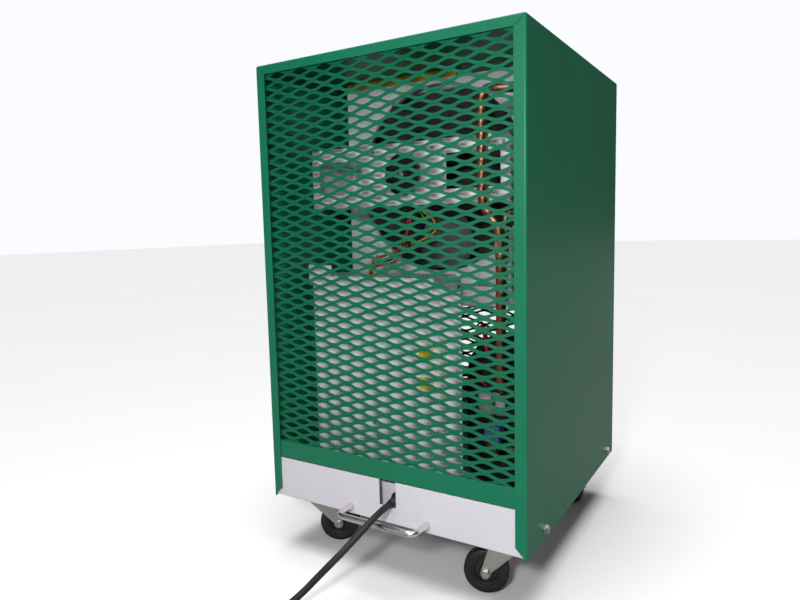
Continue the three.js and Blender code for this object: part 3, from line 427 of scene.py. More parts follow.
coil = coil_line()
tail = [coil[-1], COIL_CENTRE + Vector((0, -80.4, -81.5)), PLUG_END + Vector((-22, 0, 0)), PLUG_END]
lead_line = smooth_line(LEAD_ROUTE[:-1] + coil[1:-1] + tail[1:], 3)
lead = tube(
    "mains_lead", lead_line, CORD_RADIUS, SHEATH,
    stands_for=["mains_cord", "mains_cord_coil"], sides=4,
)
print(f"the lead is {length_of(lead_line) * MM:.2f} m long")

# %% [markdown]
# ## The lead is made

# %% The lead is made
print("the lead is made")

# %% [markdown]
# ## Shapes that come back again and again
#
# Most of this machine is folded sheet, flat plates with holes, and turned parts. Three helpers cover them.
# A folded sheet is a chain of points pulled along its length, with its fold edges bevelled into bends. A
# plate is an outline with holes, filled with triangles. A turned part is a profile spun about an axis.

# %% Shape helpers
TURN_TO = {
    "X": Matrix.Rotation(math.pi / 2, 4, "Y"),
    "Y": Matrix.Rotation(-math.pi / 2, 4, "X"),
    "Z": Matrix.Identity(4),
}


# Mirrors a head along its own axis, so that it points the other way.
TURNED_OVER = Matrix.Diagonal((1, 1, -1, 1))


def at(point, axis="Z"):
    """A placement that puts a turned part's axis along X, Y or Z through a point."""
    return Matrix.Translation(point) @ TURN_TO[axis]


def add(bm, other, matrix=None):
    """Puts another bmesh into this one, placed by matrix, and frees it."""
    if matrix is not None:
        other.transform(matrix)
    carrier = bpy.data.meshes.new("carrier")
    other.to_mesh(carrier)
    other.free()
    bm.from_mesh(carrier)
    bpy.data.meshes.remove(carrier)
    return bm


def ring(centre, radius, count, start=0.0):
    turns = [start + 2 * math.pi * i / count for i in range(count)]
    return [(centre[0] + radius * math.cos(t), centre[1] + radius * math.sin(t)) for t in turns]


def only_verts(items):
    return [item for item in items if isinstance(item, bmesh.types.BMVert)]


def rectangle(x0, x1, z0, z1):
    return [(x0, z0), (x1, z0), (x1, z1), (x0, z1)]


def plate(outline, holes=(), y=0.0):
    """A flat sheet in X and Z, facing the front, with holes through it."""
    bm = bmesh.new()
    for loop in (outline, *holes):
        corners = [bm.verts.new((x, y, z)) for x, z in loop]
        for a, b in zip(corners, corners[1:] + corners[:1]):
            bm.edges.new((a, b))
    bmesh.ops.triangle_fill(bm, use_beauty=True, edges=bm.edges[:], normal=(0, -1, 0))
    return bm


def folded(profile, length, bend, segments=4):
    """A chain of 3-D points pulled along a vector, with its folds rounded to the bend's radius."""
    bm = bmesh.new()
    chain = [bm.verts.new(point) for point in profile]
    edges = [bm.edges.new(pair) for pair in zip(chain, chain[1:])]
    pulled = bmesh.ops.extrude_edge_only(bm, edges=edges)["geom"]
    moved = only_verts(pulled)
    bmesh.ops.translate(bm, verts=moved, vec=length)
    folds = [e for e in bm.edges if len(e.link_faces) == 2]
    if folds and bend:
        bmesh.ops.bevel(
            bm, geom=folds, offset=bend, segments=segments, profile=0.5, affect="EDGES", material=-1
        )
    return bm


def turned(profile, segments=48, closed=False):
    """A profile of (radius, height) spun about Z."""
    bm = bmesh.new()
    chain = [bm.verts.new((r, 0, h)) for r, h in profile]
    pairs = list(zip(chain, chain[1:])) + ([(chain[-1], chain[0])] if closed else [])
    edges = [bm.edges.new(pair) for pair in pairs]
    bmesh.ops.spin(
        bm, geom=chain + edges, cent=(0, 0, 0), axis=(0, 0, 1), angle=2 * math.pi,
        steps=segments, use_merge=True,
    )
    bmesh.ops.remove_doubles(bm, verts=bm.verts, dist=1e-4)
    bmesh.ops.recalc_face_normals(bm, faces=bm.faces)
    return bm


def block(x, y, z):
    """A plain block between (low, high) limits."""
    bm = bmesh.new()
    bmesh.ops.create_cube(bm, size=1)
    spans = [(b - a, (a + b) / 2) for a, b in (x, y, z)]
    bmesh.ops.scale(bm, verts=bm.verts, vec=[size for size, _ in spans])
    bmesh.ops.translate(bm, verts=bm.verts, vec=[centre for _, centre in spans])
    return bm


def disc(radius, low, high, segments=24, chamfer=0.0):
    """A round or six-sided drum on Z, with its rims cut back by the chamfer."""
    rim = [(radius - chamfer, low), (radius, low + chamfer), (radius, high - chamfer)]
    return turned([(0, low), *rim, (radius - chamfer, high), (0, high)], segments)


def hex_head(bm, matrix, radius=6.5, height=5.0, washer=9.0, washer_height=1.6):
    """A bolt head on its washer, standing on the plane z = 0 of the placement."""
    add(bm, disc(washer, 0, washer_height, 28, 0.3), matrix)
    add(bm, disc(radius, washer_height, washer_height + height, 6, 0.5), matrix)
    return bm


def pan_head(bm, matrix, radius=4.2, height=2.6):
    """A small round screw head with a raised cross on it."""
    dome = [(0, height), (radius * 0.55, height * 0.93), (radius * 0.88, height * 0.6), (radius, 0)]
    head = turned(dome, 20)
    for turn in (0, math.pi / 2):
        bar = block((-radius * 0.55, radius * 0.55), (-0.45, 0.45), (height * 0.9, height * 1.02))
        add(head, bar, Matrix.Rotation(turn, 4, "Z"))
    return add(bm, head, matrix)


print("shape helpers ready")

# %% [markdown]
# ## Powder coat
#
# The cover is powder coated: a thick, glossy plastic skin with a slight orange peel. Its gloss comes from a
# clear coat over a rougher colour. The orange peel is a fine noise used as a bump, and a broad faint noise
# keeps the colour and the gloss from being the same all over. Low on the machine the paint is a little dusty.


# %% Powder coat
def powder_coat(name, colour, shaded, roughness, coat, peel=0.10, dust=None):
    made = Finish(name, roughness, coat_weight=coat, coat_roughness=0.18, specular_ior_level=0.32)
    cloud = made.noise(5.0, detail=5.0)
    tone = made.mixed(cloud.between(0.30, 0.75), shaded, colour)
    if dust is not None:
        low_down = 1.0 - made.height().between(0.04, 0.34)
        speckle = made.noise(160.0, detail=5.0, roughness=0.7).between(0.50, 0.68)
        tone = made.mixed(low_down * speckle * 0.35, tone, dust)
    made.set("Base Color", tone)
    made.set("Roughness", cloud * 0.14 + (roughness - 0.07))
    made.bumps(made.noise(420.0, detail=2.0), peel, 0.0008)
    return made.material


GREEN_COAT = powder_coat(
    "green_powder_coat", (0.003, 0.195, 0.097), (0.002, 0.170, 0.083), 0.42, 0.10,
    dust=(0.05, 0.19, 0.12),
)
GRILLE_GREEN = powder_coat(
    "green_grille_coat", (0.002, 0.150, 0.074), (0.001, 0.120, 0.058), 0.44, 0.06,
    dust=(0.03, 0.14, 0.09),
)
# The base's white is painted darker, as painted shade, and the inner parts' white is painted brighter, as
# painted light; both stand for one white powder coat.
WHITE_COAT_PAINTED_SHADE = powder_coat(
    "white_coat_painted_shade", (0.78, 0.765, 0.82), (0.73, 0.715, 0.77), 0.40, 0.15, dust=(0.62, 0.61, 0.62)
)
INNER_WHITE_PAINTED_LIGHT = powder_coat(
    "inner_white_painted_light", (0.93, 0.92, 0.95), (0.90, 0.89, 0.92), 0.40, 0.15, dust=(0.82, 0.81, 0.81)
)
print("powder coats made")

# %% [markdown]
# ## Bare metals
#
# Zinc plate has a faint crystal pattern of patches that are each a little lighter or darker. Drawn steel bar
# and copper tube have fine scratches along their length. Both are cells or noise, used on the colour and on
# the roughness, so that highlights break up the way they do on real metal.


# %% Metals
def metal(name, light, dark, roughness, scale=240.0, stretch=(1, 1, 1), spread=0.18, scratch=0.08):
    made = Finish(name, roughness, metallic=1.0)
    patch = made.cells(scale, stretch, out=0)
    haze = made.noise(14.0, detail=4.0)
    made.set("Base Color", made.mixed((patch * 0.6 + haze * 0.6).clamped(), dark, light))
    made.set("Roughness", haze * spread + patch * spread * 0.6 + (roughness - spread * 0.6))
    made.bumps(made.noise(700.0, detail=3.0, stretch=stretch), scratch, 0.0005)
    return made.material


ZINC = metal("zinc_plate", (0.58, 0.57, 0.55), (0.38, 0.38, 0.37), 0.34, 190.0)
BRIGHT_BAR = metal("bright_bar", (0.86, 0.82, 0.78), (0.60, 0.57, 0.54), 0.17, 60.0, (1, 14, 14))
ALUMINIUM = metal("mill_aluminium", (0.66, 0.67, 0.69), (0.48, 0.49, 0.51), 0.40, 320.0)
# The copper's colours are darker than bare copper: painted shade for the pipes that lie in shadow behind the
# grille.
COPPER = metal("drawn_copper", (0.62, 0.28, 0.16), (0.28, 0.12, 0.08), 0.44, 90.0, (3, 3, 1))
BRASS = metal("turned_brass", (0.72, 0.53, 0.23), (0.48, 0.33, 0.13), 0.30, 260.0)
print("metals made")

# %% [markdown]
# ## The cover
#
# The cover is one green sheet folded over the machine like a tunnel: two sides and a top, with a narrow
# flange turned in all round each open end. It could be built flange by flange, but a box already has all its
# faces. So a cube loses its floor, its long edges are bevelled into bends, and each end face is inset and its
# middle deleted, which leaves the flanges. At the top corners two flanges meet in a mitre with a fine gap.

# %% Cover
SHEET = 1.6
BEND = 3.2
RAIL_TOP = span("front_lower_rail")[1].z
GRILLE_FRONT = span("front_grille")[0].y
SIDE_FLANGE = 19.0
TOP_FLANGE = 16.0
MITRE_GAP = 0.45
FOOT_CUT = 60.0


def at_end(item, y):
    return all(abs(v.co.y - y) < 0.01 for v in item.verts)


def cut_flange(bm, y, point, across, gap):
    """Removes what lies within gap of a slanting line through a point, on one side of the flange at y."""
    normal = Vector(across).normalized()

    def on_this_flange(face):
        return at_end(face, y) and face.calc_center_median().x * point[0] > 0

    for side in (-gap, gap):
        flange = [f for f in bm.faces if on_this_flange(f)]
        around = {e for f in flange for e in f.edges} | {v for f in flange for v in f.verts}
        bmesh.ops.bisect_plane(
            bm, geom=flange + list(around), plane_co=Vector(point) + normal * side, plane_no=normal
        )
    inside = [
        f for f in bm.faces
        if on_this_flange(f) and abs((f.calc_center_median() - Vector(point)).dot(normal)) < gap
    ]
    bmesh.ops.delete(bm, geom=inside, context="FACES")


def cover_shell():
    bm = block((-HALF, HALF), (0, DEPTH), (0, HEIGHT))
    bmesh.ops.delete(bm, geom=[f for f in bm.faces if f.normal.z < -0.5], context="FACES_ONLY")
    folds = [e for e in bm.edges if len(e.link_faces) == 2]
    bmesh.ops.bevel(
        bm, geom=folds, offset=BEND, segments=4, profile=0.5, affect="EDGES", material=-1
    )
    for y in (0, DEPTH):
        end = [f for f in bm.faces if at_end(f, y)]
        bmesh.ops.inset_region(
            bm, faces=end, thickness=SIDE_FLANGE - BEND, use_boundary=False, use_even_offset=True
        )
        middle_face = max((f for f in bm.faces if at_end(f, y)), key=lambda f: f.calc_area())
        top = [v for v in middle_face.verts if v.co.z > HEIGHT / 2]
        bmesh.ops.translate(bm, verts=top, vec=(0, 0, SIDE_FLANGE - TOP_FLANGE))
        bmesh.ops.delete(bm, geom=[middle_face], context="FACES_ONLY")
        for way in (-1, 1):
            corner = (way * (HALF - SIDE_FLANGE), y, HEIGHT - TOP_FLANGE)
            slope = (SIDE_FLANGE - BEND, TOP_FLANGE - BEND)
            cut_flange(bm, y, corner, (-way * slope[1], 0, slope[0]), MITRE_GAP)
            foot = (way * HALF, y, -FOOT_CUT)
            cut_flange(bm, y, foot, (way, 0, 1), FOOT_CUT / math.sqrt(2))
    loose = [v for v in bm.verts if not v.link_faces]
    bmesh.ops.delete(bm, geom=loose, context="VERTS")
    return bm


cover = piece_from(
    cover_shell(), "green_cover", GREEN_COAT, "green_paint", stands_for=["outer_cover"], smooth=True
)
eased(thickened(cover, SHEET, even=False), 0.3)
print("cover", len(cover.data.polygons), "faces")

# %% [markdown]
# ## Expanded metal
#
# The grille is expanded metal: a sheet is slit in rows and pulled open, so it becomes a stack of wavy ribbons
# that touch their upper and lower neighbours in turn. Cutting hundreds of holes into a plate would give flat
# strands. Building it as it really is, ribbon by ribbon, gives the tilt that catches the light. One ribbon is
# an extruded four-cornered section, and the rest are copies, with every second one half a wave along.

# %% Expanded metal
OPENING = HALF - SIDE_FLANGE
COLUMNS = 9
ROWS = 36
LONG_WAY = 2 * OPENING / COLUMNS
SHORT_WAY = (HEIGHT - TOP_FLANGE - RAIL_TOP) / ROWS
HOLE_LENGTH = 0.66 * LONG_WAY
HOLE_HEIGHT = 0.56 * SHORT_WAY
ROW_TALL = SHORT_WAY / 2
MESH_SHEET = 1.6
MESH_LEAN = 0.3
STEPS = 16


def hole_edge(x, row):
    """Half the height of a row's holes at x, and nothing where the ribbons are joined."""
    turns = x / LONG_WAY + (0 if (row + COLUMNS) % 2 == 0 else 0.5)
    away = abs(turns - round(turns)) * LONG_WAY / (HOLE_LENGTH / 2)
    return HOLE_HEIGHT / 2 * (1 - min(away, 1) ** 1.7)


def ribbon(row, step, reach):
    """One wavy ribbon, between the holes under it and the holes over it."""
    near, far = -MESH_SHEET / 2, MESH_SHEET / 2
    low = hole_edge(-reach * step, row) - ROW_TALL / 2
    high = ROW_TALL / 2 - hole_edge(-reach * step, row + 1)
    bm = bmesh.new()
    section = [
        (near - MESH_LEAN, low), (far - MESH_LEAN, low), (far + MESH_LEAN, high), (near + MESH_LEAN, high),
    ]
    chain = [bm.verts.new((-reach * step, y, z)) for y, z in section]
    edges = [bm.edges.new(pair) for pair in zip(chain, chain[1:] + chain[:1])]
    for i in range(1 - reach, reach + 1):
        between = (low + high) / 2
        goes = bmesh.ops.extrude_edge_only(bm, edges=edges)["geom"]
        edges = [e for e in goes if isinstance(e, bmesh.types.BMEdge)]
        low, high = hole_edge(i * step, row) - ROW_TALL / 2, ROW_TALL / 2 - hole_edge(i * step, row + 1)
        for vert in goes:
            if isinstance(vert, bmesh.types.BMVert):
                vert.co.x = i * step
                vert.co.z = high if vert.co.z > between else low
    return bm


def expanded_metal(name, y, node, turned_round=False):
    step = LONG_WAY / STEPS
    reach = math.ceil((OPENING + 7) / step)
    bm = bmesh.new()
    for row in range(2 * ROWS + 3):
        centre = RAIL_TOP - ROW_TALL + row * ROW_TALL
        add(bm, ribbon(row, step, reach), Matrix.Translation((0, y, centre)))
    matrix = Matrix.Translation((0, DEPTH, 0)) @ Matrix.Diagonal((1, -1, 1, 1)) if turned_round else None
    return piece_from(bm, name, GRILLE_GREEN, "green_paint", stands_for=[node], turned=matrix)


GRILLE_DEEP = GRILLE_FRONT + 2.2
front_mesh = expanded_metal("front_expanded_metal", GRILLE_DEEP, "front_grille")
expanded_metal("rear_expanded_metal", GRILLE_DEEP, "rear_grille", True)
print(f"long way {LONG_WAY:.1f} mm, short way {SHORT_WAY:.1f} mm, {len(front_mesh.data.polygons)} faces")

# %% [markdown]
# ## The lower rails
#
# Under each grille a plain green strip closes the cover. It is a folded sheet with a short lip turned in
# along its lower edge, so it is a chain of three points pulled across the machine.


# %% Rails
def rail(name, node, front):
    low, high = span(node)
    length = Vector((high.x - low.x, 0, 0))
    outer, inner = (low.y, high.y) if front else (high.y, low.y)
    profile = [(low.x, inner, low.z), (low.x, outer, low.z), (low.x, outer, high.z)]
    bm = folded(profile, length, 2.6)
    piece = piece_from(bm, name, GREEN_COAT, "green_paint", stands_for=[node], smooth=True)
    facing = piece.data.polygons[-1].normal
    wrong = (facing.y > 0.5) == front
    if wrong:
        piece.data.flip_normals()
    return eased(thickened(piece, SHEET), 0.35)


rail("front_rail", "front_lower_rail", True)
rail("rear_rail", "rear_lower_rail", False)
print("rails made")

# %% [markdown]
# ## The base
#
# The base is a white tray: its floor and its front and back walls are one folded sheet, and the side walls
# are turned up from it. The front wall has the slot that the lead comes through. Two cuts across the wall and
# one along it mark the slot's edges, and the faces between them are deleted. Behind the slot stands a small
# tab with a round hole, which holds the lead's gland.

# %% Base tray
BASE_LOW, BASE_HIGH = span("base_tray")
SLOT = (-13.0, 20.0)
SLOT_LOW = 33.0
SIDE_WALL = 44.0
BASE_SHEET = 2.0
GLAND = Vector((12, 0, 41))


def slot_cut(bm, x, z_low, y_near):
    """Deletes the part of an upright wall between two x planes and above z_low."""
    for point, normal in (((x[0], 0, 0), (1, 0, 0)), ((x[1], 0, 0), (1, 0, 0)), ((0, 0, z_low), (0, 0, 1))):
        everything = bm.verts[:] + bm.edges[:] + bm.faces[:]
        bmesh.ops.bisect_plane(bm, geom=everything, plane_co=point, plane_no=normal)
    gone = []
    for f in bm.faces:
        centre = f.calc_center_median()
        if x[0] < centre.x < x[1] and centre.z > z_low and abs(centre.y - y_near) < 1:
            gone.append(f)
    bmesh.ops.delete(bm, geom=gone, context="FACES")


def base_tray():
    low, high = BASE_LOW, BASE_HIGH
    walls = [(low.x, low.y, high.z), (low.x, low.y, low.z), (low.x, high.y, low.z), (low.x, high.y, high.z)]
    bm = folded(walls, (high.x - low.x, 0, 0), 3.0)
    slot_cut(bm, SLOT, SLOT_LOW, low.y)
    for way in (-1, 1):
        x = way * high.x
        side = [(x, low.y + 6, SIDE_WALL), (x, low.y + 6, low.z), (x - way * 14, low.y + 6, low.z)]
        wall = folded(side, (0, high.y - low.y - 12, 0), 3.0)
        add(bm, wall)
    gland_tab = rectangle(-34, 36, low.z + BASE_SHEET, 63)
    add(bm, plate(gland_tab, [ring((GLAND.x, GLAND.z), 8.4, 32)], 26))
    return bm


tray = piece_from(
    base_tray(), "white_base", WHITE_COAT_PAINTED_SHADE, "white_paint", stands_for=["base_tray"], smooth=True
)
eased(thickened(tray, BASE_SHEET), 0.4)
print("base", len(tray.data.polygons), "faces")

# %% [markdown]
# ## The handle
#
# A bright round bar is bent twice into a shallow loop and bolted through the front of the base. Its line has
# only four corners, and the helper for bent pipes rounds the two at the front. Its nuts are inside the base.

# %% Handle
HANDLE_LOW, HANDLE_HIGH = span("handle")
HANDLE_ROD = 5.5
HANDLE_LEFT = HANDLE_LOW.x + 7.5
HANDLE_RIGHT = HANDLE_HIGH.x - 7.5
HANDLE_FRONT = HANDLE_LOW.y + HANDLE_ROD
HANDLE_LEVEL = 19.0
bar_line = bent_line(
    [
        (HANDLE_LEFT, 1.6, HANDLE_LEVEL), (HANDLE_LEFT, HANDLE_FRONT, HANDLE_LEVEL),
        (HANDLE_RIGHT, HANDLE_FRONT, HANDLE_LEVEL), (HANDLE_RIGHT, 1.6, HANDLE_LEVEL),
    ],
    17.0, 14,
)
tube("pull_handle", bar_line, HANDLE_ROD, BRIGHT_BAR, stands_for=["handle"], sides=7)
fixings = bmesh.new()
for x in (HANDLE_LEFT, HANDLE_RIGHT):
    hex_head(fixings, at((x, 4.2, HANDLE_LEVEL), "Y"), 7.4, 5.5, 10.0)
piece_from(fixings, "handle_fixings", ZINC, "zinc", smooth=True)
print("handle made")

# %% [markdown]
# ## The cover's bolts
#
# Two zinc-plated bolts on each side hold the cover to the base. Each is a six-sided head on a washer.

# %% Cover bolts
for node in ("front_left", "front_right", "rear_left", "rear_right"):
    spot = middle(f"cover_bolt_{node}")
    way = -1 if "left" in node else 1
    bolt = bmesh.new()
    face_out = at((way * HALF, spot.y, 17.5), "X") @ Matrix.Diagonal((1, 1, way, 1))
    hex_head(bolt, face_out, 6.9, 4.4, 8.7, 1.6)
    piece_from(bolt, f"bolt_{node}", ZINC, "zinc", stands_for=[f"cover_bolt_{node}"], smooth=True)
print("bolts made")

# %% [markdown]
# ## Castors
#
# Each castor is pressed steel: a top plate with four bolts, a folded fork, a ball race on the front two, and
# a hard rubber tyre on a black centre. All four are drawn once in the castor's own space, with its origin on
# the base's underside and its wheel trailing along x. The front two are then turned to where they came to
# rest. The fork is three faces, a crown and two tapered legs, whose shared edges are bevelled before it is
# thickened.

# %% Tyre rubber and wheel centres
TYRE = rubber("tyre_rubber", (0.006, 0.006, 0.007), (0.018, 0.018, 0.018), 500.0, 0.5)
WHEEL_PLASTIC = rubber("wheel_centre_nylon", (0.016, 0.016, 0.018), (0.032, 0.032, 0.035), 1100.0, 0.36)

# %% [markdown]
# ## Castor shapes
#
# Every castor part is a function that returns a shape in the castor's own space. They could be four separate
# sets of pieces, but one set of functions, run once per castor, keeps them alike.

# %% Castor shapes
CASTOR_X = HALF - 62.5
CASTOR_INSET = 68.0
BASE_UNDER = BASE_LOW.z
WHEEL_RADIUS = 37.5
WHEEL_WIDTH = 24.0
WHEEL_DROP = BASE_UNDER - (FLOOR + WHEEL_RADIUS)
TRAIL = 31.0
LEG_OUTER = 17.1
CROWN_TOP = -8.8
CROWN_REACH = 22.0
FORK_SHEET = 2.6
EYE = 8.5
FRONT_TURNS = {"left": 28.0, "right": 198.0}


def fork_bm(trail):
    bm = bmesh.new()
    around = [math.radians(10 - i * 25) for i in range(9)]
    eye = [(trail + EYE * math.cos(a), -WHEEL_DROP + EYE * math.sin(a)) for a in around]
    outline = [(-CROWN_REACH, CROWN_TOP), (CROWN_REACH, CROWN_TOP), *eye, (-CROWN_REACH, CROWN_TOP - 14)]
    legs = [[bm.verts.new((x, y, z)) for x, z in outline] for y in (-LEG_OUTER, LEG_OUTER)]
    for leg in legs:
        bm.faces.new(leg)
    bm.faces.new((legs[0][0], legs[0][1], legs[1][1], legs[1][0]))
    folds = [e for e in bm.edges if len(e.link_faces) == 2]
    bmesh.ops.bevel(
        bm, geom=folds, offset=3.4, segments=4, profile=0.5, affect="EDGES", material=-1
    )
    return bm


def race_bm():
    dished = [
        (5.6, CROWN_TOP + 0.1), (23.4, CROWN_TOP + 0.1), (24.2, CROWN_TOP + 0.9), (22.6, -5.2),
        (20.8, -3.9), (5.6, -3.9),
    ]
    return turned(dished, 40, closed=True)


def castor_plate_bm(kingpin):
    holes = [(a * 37, b * 24) for a in (-1, 1) for b in (-1, 1)]
    bm = bmesh.new()
    add(bm, block((-46, 46), (-33, 33), (-3.4, -0.4)))
    for x, y in holes:
        hex_head(bm, at((x, y, -3.4)) @ TURNED_OVER, 6.4, 4.2, 8.2, 1.2)
    if kingpin:
        add(bm, disc(8.8, -15.2, -12.3, 6, 0.5))
        add(bm, disc(4.9, -12.4, -0.5, 20))
    return bm


def tyre_bm():
    half = WHEEL_WIDTH / 2
    tread = [
        (23.4, -half + 1.2), (29, -half + 0.1), (33.5, -half), (36.3, -half + 1.8), (37.2, -half + 4.6),
        (37.5, -half + 7.5), (37.5, half - 7.5), (37.2, half - 4.6), (36.3, half - 1.8), (33.5, half),
        (29, half - 0.1), (23.4, half - 1.2),
    ]
    return turned(tread, 72, closed=True)


def centre_bm():
    half = WHEEL_WIDTH / 2
    web = [
        (4.4, -half - 1), (10, -half - 1), (11, -half), (11.6, -5.5), (18.6, -4.8), (20.2, -half + 2.6),
        (22.8, -half + 1.8), (23.1, -half + 3), (23.1, half - 3), (22.8, half - 1.8),
        (20.2, half - 2.6), (18.6, 4.8), (11.6, 5.5), (11, half), (10, half + 1), (4.4, half + 1),
    ]
    return turned(web, 60, closed=True)


def axle_bm():
    bm = disc(3.9, -20, 20, 20)
    add(bm, disc(7.0, 17.6, 22.4, 6, 0.5))
    add(bm, disc(7.0, -22.4, -17.6, 6, 0.5))
    for side in (17.15, -18.4):
        add(bm, disc(8.0, side, side + 1.2, 28, 0.2))
    return bm


def castor(end, side):
    front = end == "front"
    way = -1 if side == "left" else 1
    depth_place = CASTOR_INSET if front else DEPTH - CASTOR_INSET
    stand = Matrix.Translation((way * CASTOR_X, depth_place, BASE_UNDER))
    turn = math.radians(FRONT_TURNS[side]) if front else math.pi / 2
    trail = TRAIL if front else 0.0
    swung = stand @ Matrix.Rotation(turn, 4, "Z")
    wheel = swung @ at((trail, 0, -WHEEL_DROP), "Y")
    fork_body = f"front_{side}_swivel_fork" if front else "cabinet"
    name = f"{end}_{side}"
    zinc = {"finish": ZINC, "slot": "zinc", "smooth": True}
    plate_for = [f"{name}_castor_plate"] if front else []
    top = stand if front else swung
    top_plate = piece_from(
        castor_plate_bm(front), f"{name}_top_plate", stands_for=plate_for, turned=top, **zinc
    )
    eased(top_plate, 0.5)
    fork = piece_from(
        fork_bm(trail), f"{name}_pressed_fork", body=fork_body, stands_for=[f"{name}_fork"],
        turned=swung, **zinc,
    )
    eased(thickened(fork, FORK_SHEET, even=False), 0.5)
    if front:
        piece_from(race_bm(), f"{name}_ball_race", body=fork_body, turned=swung, **zinc)
    else:
        piece_from(disc(16, -9, -3.2, 32, 0.6), f"{name}_fork_boss", turned=swung, **zinc)
    piece_from(
        axle_bm(), f"{name}_axle_bolt", body=fork_body, stands_for=[f"{name}_axle"], turned=wheel, **zinc
    )
    piece_from(
        tyre_bm(), f"{name}_rubber_tyre", TYRE, "tyre_rubber", f"{name}_wheel", [f"{name}_tyre"],
        True, wheel,
    )
    centre = piece_from(
        centre_bm(), f"{name}_nylon_centre", WHEEL_PLASTIC, "black_plastic", f"{name}_wheel",
        [f"{name}_wheel_centre"], True, wheel,
    )
    eased(centre, 0.35)


for end in ("front", "rear"):
    for side in ("left", "right"):
        castor(end, side)
print("four castors made")

# %% [markdown]
# ## More finishes for the inside
#
# Behind the grille there is black enamel on the compressor and motor, moulded plastic, coloured wire and a
# strip of open foam. Enamel and plastic are one recipe with different colours. Foam needs a deep bump of
# small cells, and its colour follows the same cells, with painted shade darkening the inside of each pore.


# %% Enamel, plastics, foam and wire
def moulded(name, light, dark, roughness, grain=800.0, coat=0.0):
    made = Finish(name, roughness, coat_weight=coat, coat_roughness=0.2)
    cloud = made.noise(22.0, detail=4.0)
    made.set("Base Color", made.mixed(cloud.between(0.35, 0.68), dark, light))
    made.set("Roughness", cloud * 0.2 + (roughness - 0.1))
    made.bumps(made.noise(grain, detail=2.0), 0.12, 0.0005)
    return made.material


def open_foam():
    made = Finish("open_foam", 0.95)
    pores = made.cells(520.0)
    # Painted shade: the foam's colour is darker inside each pore.
    made.set("Base Color", made.mixed(pores.between(0.15, 0.6), (0.42, 0.29, 0.01), (0.80, 0.62, 0.03)))
    made.bumps(pores, 0.9, 0.0015)
    return made.material


BLACK_ENAMEL = moulded("black_enamel", (0.020, 0.020, 0.023), (0.011, 0.011, 0.012), 0.50, 500.0, 0.0)
MOTOR_BLACK = moulded("motor_black", (0.016, 0.016, 0.019), (0.009, 0.009, 0.010), 0.42)
FAN_GREY = moulded("fan_grey", (0.060, 0.056, 0.072), (0.036, 0.034, 0.044), 0.46)
TERMINAL_GREY = moulded("terminal_grey", (0.30, 0.29, 0.33), (0.20, 0.19, 0.22), 0.5)
COIL_BLUE = moulded("coil_blue", (0.10, 0.30, 0.66), (0.06, 0.20, 0.50), 0.38, coat=0.2)
HOSE_CLEAR = moulded("drain_hose_grey", (0.52, 0.55, 0.57), (0.38, 0.41, 0.43), 0.32)
LABEL = moulded("blank_label", (0.78, 0.77, 0.80), (0.66, 0.65, 0.69), 0.45)
YELLOW_LABEL = moulded("blank_yellow_label", (0.80, 0.62, 0.02), (0.68, 0.50, 0.02), 0.45)
FOAM = open_foam()
WIRES = {
    "red": moulded("red_wire", (0.62, 0.02, 0.02), (0.42, 0.01, 0.01), 0.4),
    "green": moulded("green_wire", (0.10, 0.36, 0.06), (0.05, 0.22, 0.03), 0.4),
    "yellow": moulded("yellow_wire", (0.74, 0.58, 0.03), (0.55, 0.42, 0.02), 0.4),
    "black": moulded("black_wire", (0.018, 0.018, 0.020), (0.010, 0.010, 0.012), 0.4),
    "grey": moulded("grey_wire", (0.36, 0.35, 0.38), (0.24, 0.23, 0.26), 0.4),
}
print("inside finishes made")

# %% [markdown]
# ## The fan's bulkhead
#
# A white sheet closes the machine behind the front space, with a round opening that the fan turns in. The
# sheet is an outline with a hole, filled with triangles. Round the opening its edge is rolled back into a
# short throat, which guides the air, and that is a spun strip. Flanges fold back from its four sides.

# %% Bulkhead
PLATE_LOW, PLATE_HIGH = span("fan_bulkhead")
PLATE_HALF = PLATE_HIGH.x
PLATE_Y = PLATE_LOW.y
ROTOR_LOW, ROTOR_HIGH = span("fan_rotor")
COIL_HOUSING_LOW, COIL_HOUSING_HIGH = span("coil_housing")
FAN_OPENING = 177.0
FAN_Z = PLATE_HIGH.z - 5 - FAN_OPENING
PLATE_BOTTOM = PLATE_HIGH.z - 379
PLATE_SHEET = 1.6


def bulkhead():
    bm = plate(
        rectangle(-PLATE_HALF, PLATE_HALF, PLATE_BOTTOM, PLATE_HIGH.z),
        [ring((0, FAN_Z), FAN_OPENING, 96)],
        PLATE_Y,
    )
    around = [
        ((-PLATE_HALF, PLATE_BOTTOM), (0, 0, 379)), ((PLATE_HALF, PLATE_BOTTOM), (0, 0, 379)),
        ((-PLATE_HALF, PLATE_HIGH.z), (2 * PLATE_HALF, 0, 0)),
        ((-PLATE_HALF, PLATE_BOTTOM), (2 * PLATE_HALF, 0, 0)),
    ]
    for (x, z), along in around:
        add(bm, folded([(x, PLATE_Y, z), (x, PLATE_Y + 22, z)], along, 0))
    leg = rectangle(-PLATE_HALF, -PLATE_HALF + 40, 5.4, PLATE_BOTTOM)
    add(bm, plate(leg, (), PLATE_Y))
    throat = [(FAN_OPENING, 0), (FAN_OPENING - 2.2, 1.2), (FAN_OPENING - 3.4, 4), (FAN_OPENING - 3.6, 18)]
    add(bm, turned(throat, 96), at((0, PLATE_Y, FAN_Z), "Y"))
    bmesh.ops.remove_doubles(bm, verts=bm.verts, dist=0.01)
    return bm


wall = piece_from(
    bulkhead(), "bulkhead", INNER_WHITE_PAINTED_LIGHT, "white_paint", stands_for=["fan_bulkhead"], smooth=True
)
thickened(wall, PLATE_SHEET, 0.0, even=False).modifiers["wall"].offset = -0.9
print("bulkhead", len(wall.data.polygons), "faces")

# %% [markdown]
# ## Foam strip
#
# A strip of yellow foam seals the top of the bulkhead. It is a block cut into many small faces, whose points
# are then pushed a little at random, as torn foam is uneven. The random numbers start from a fixed seed.

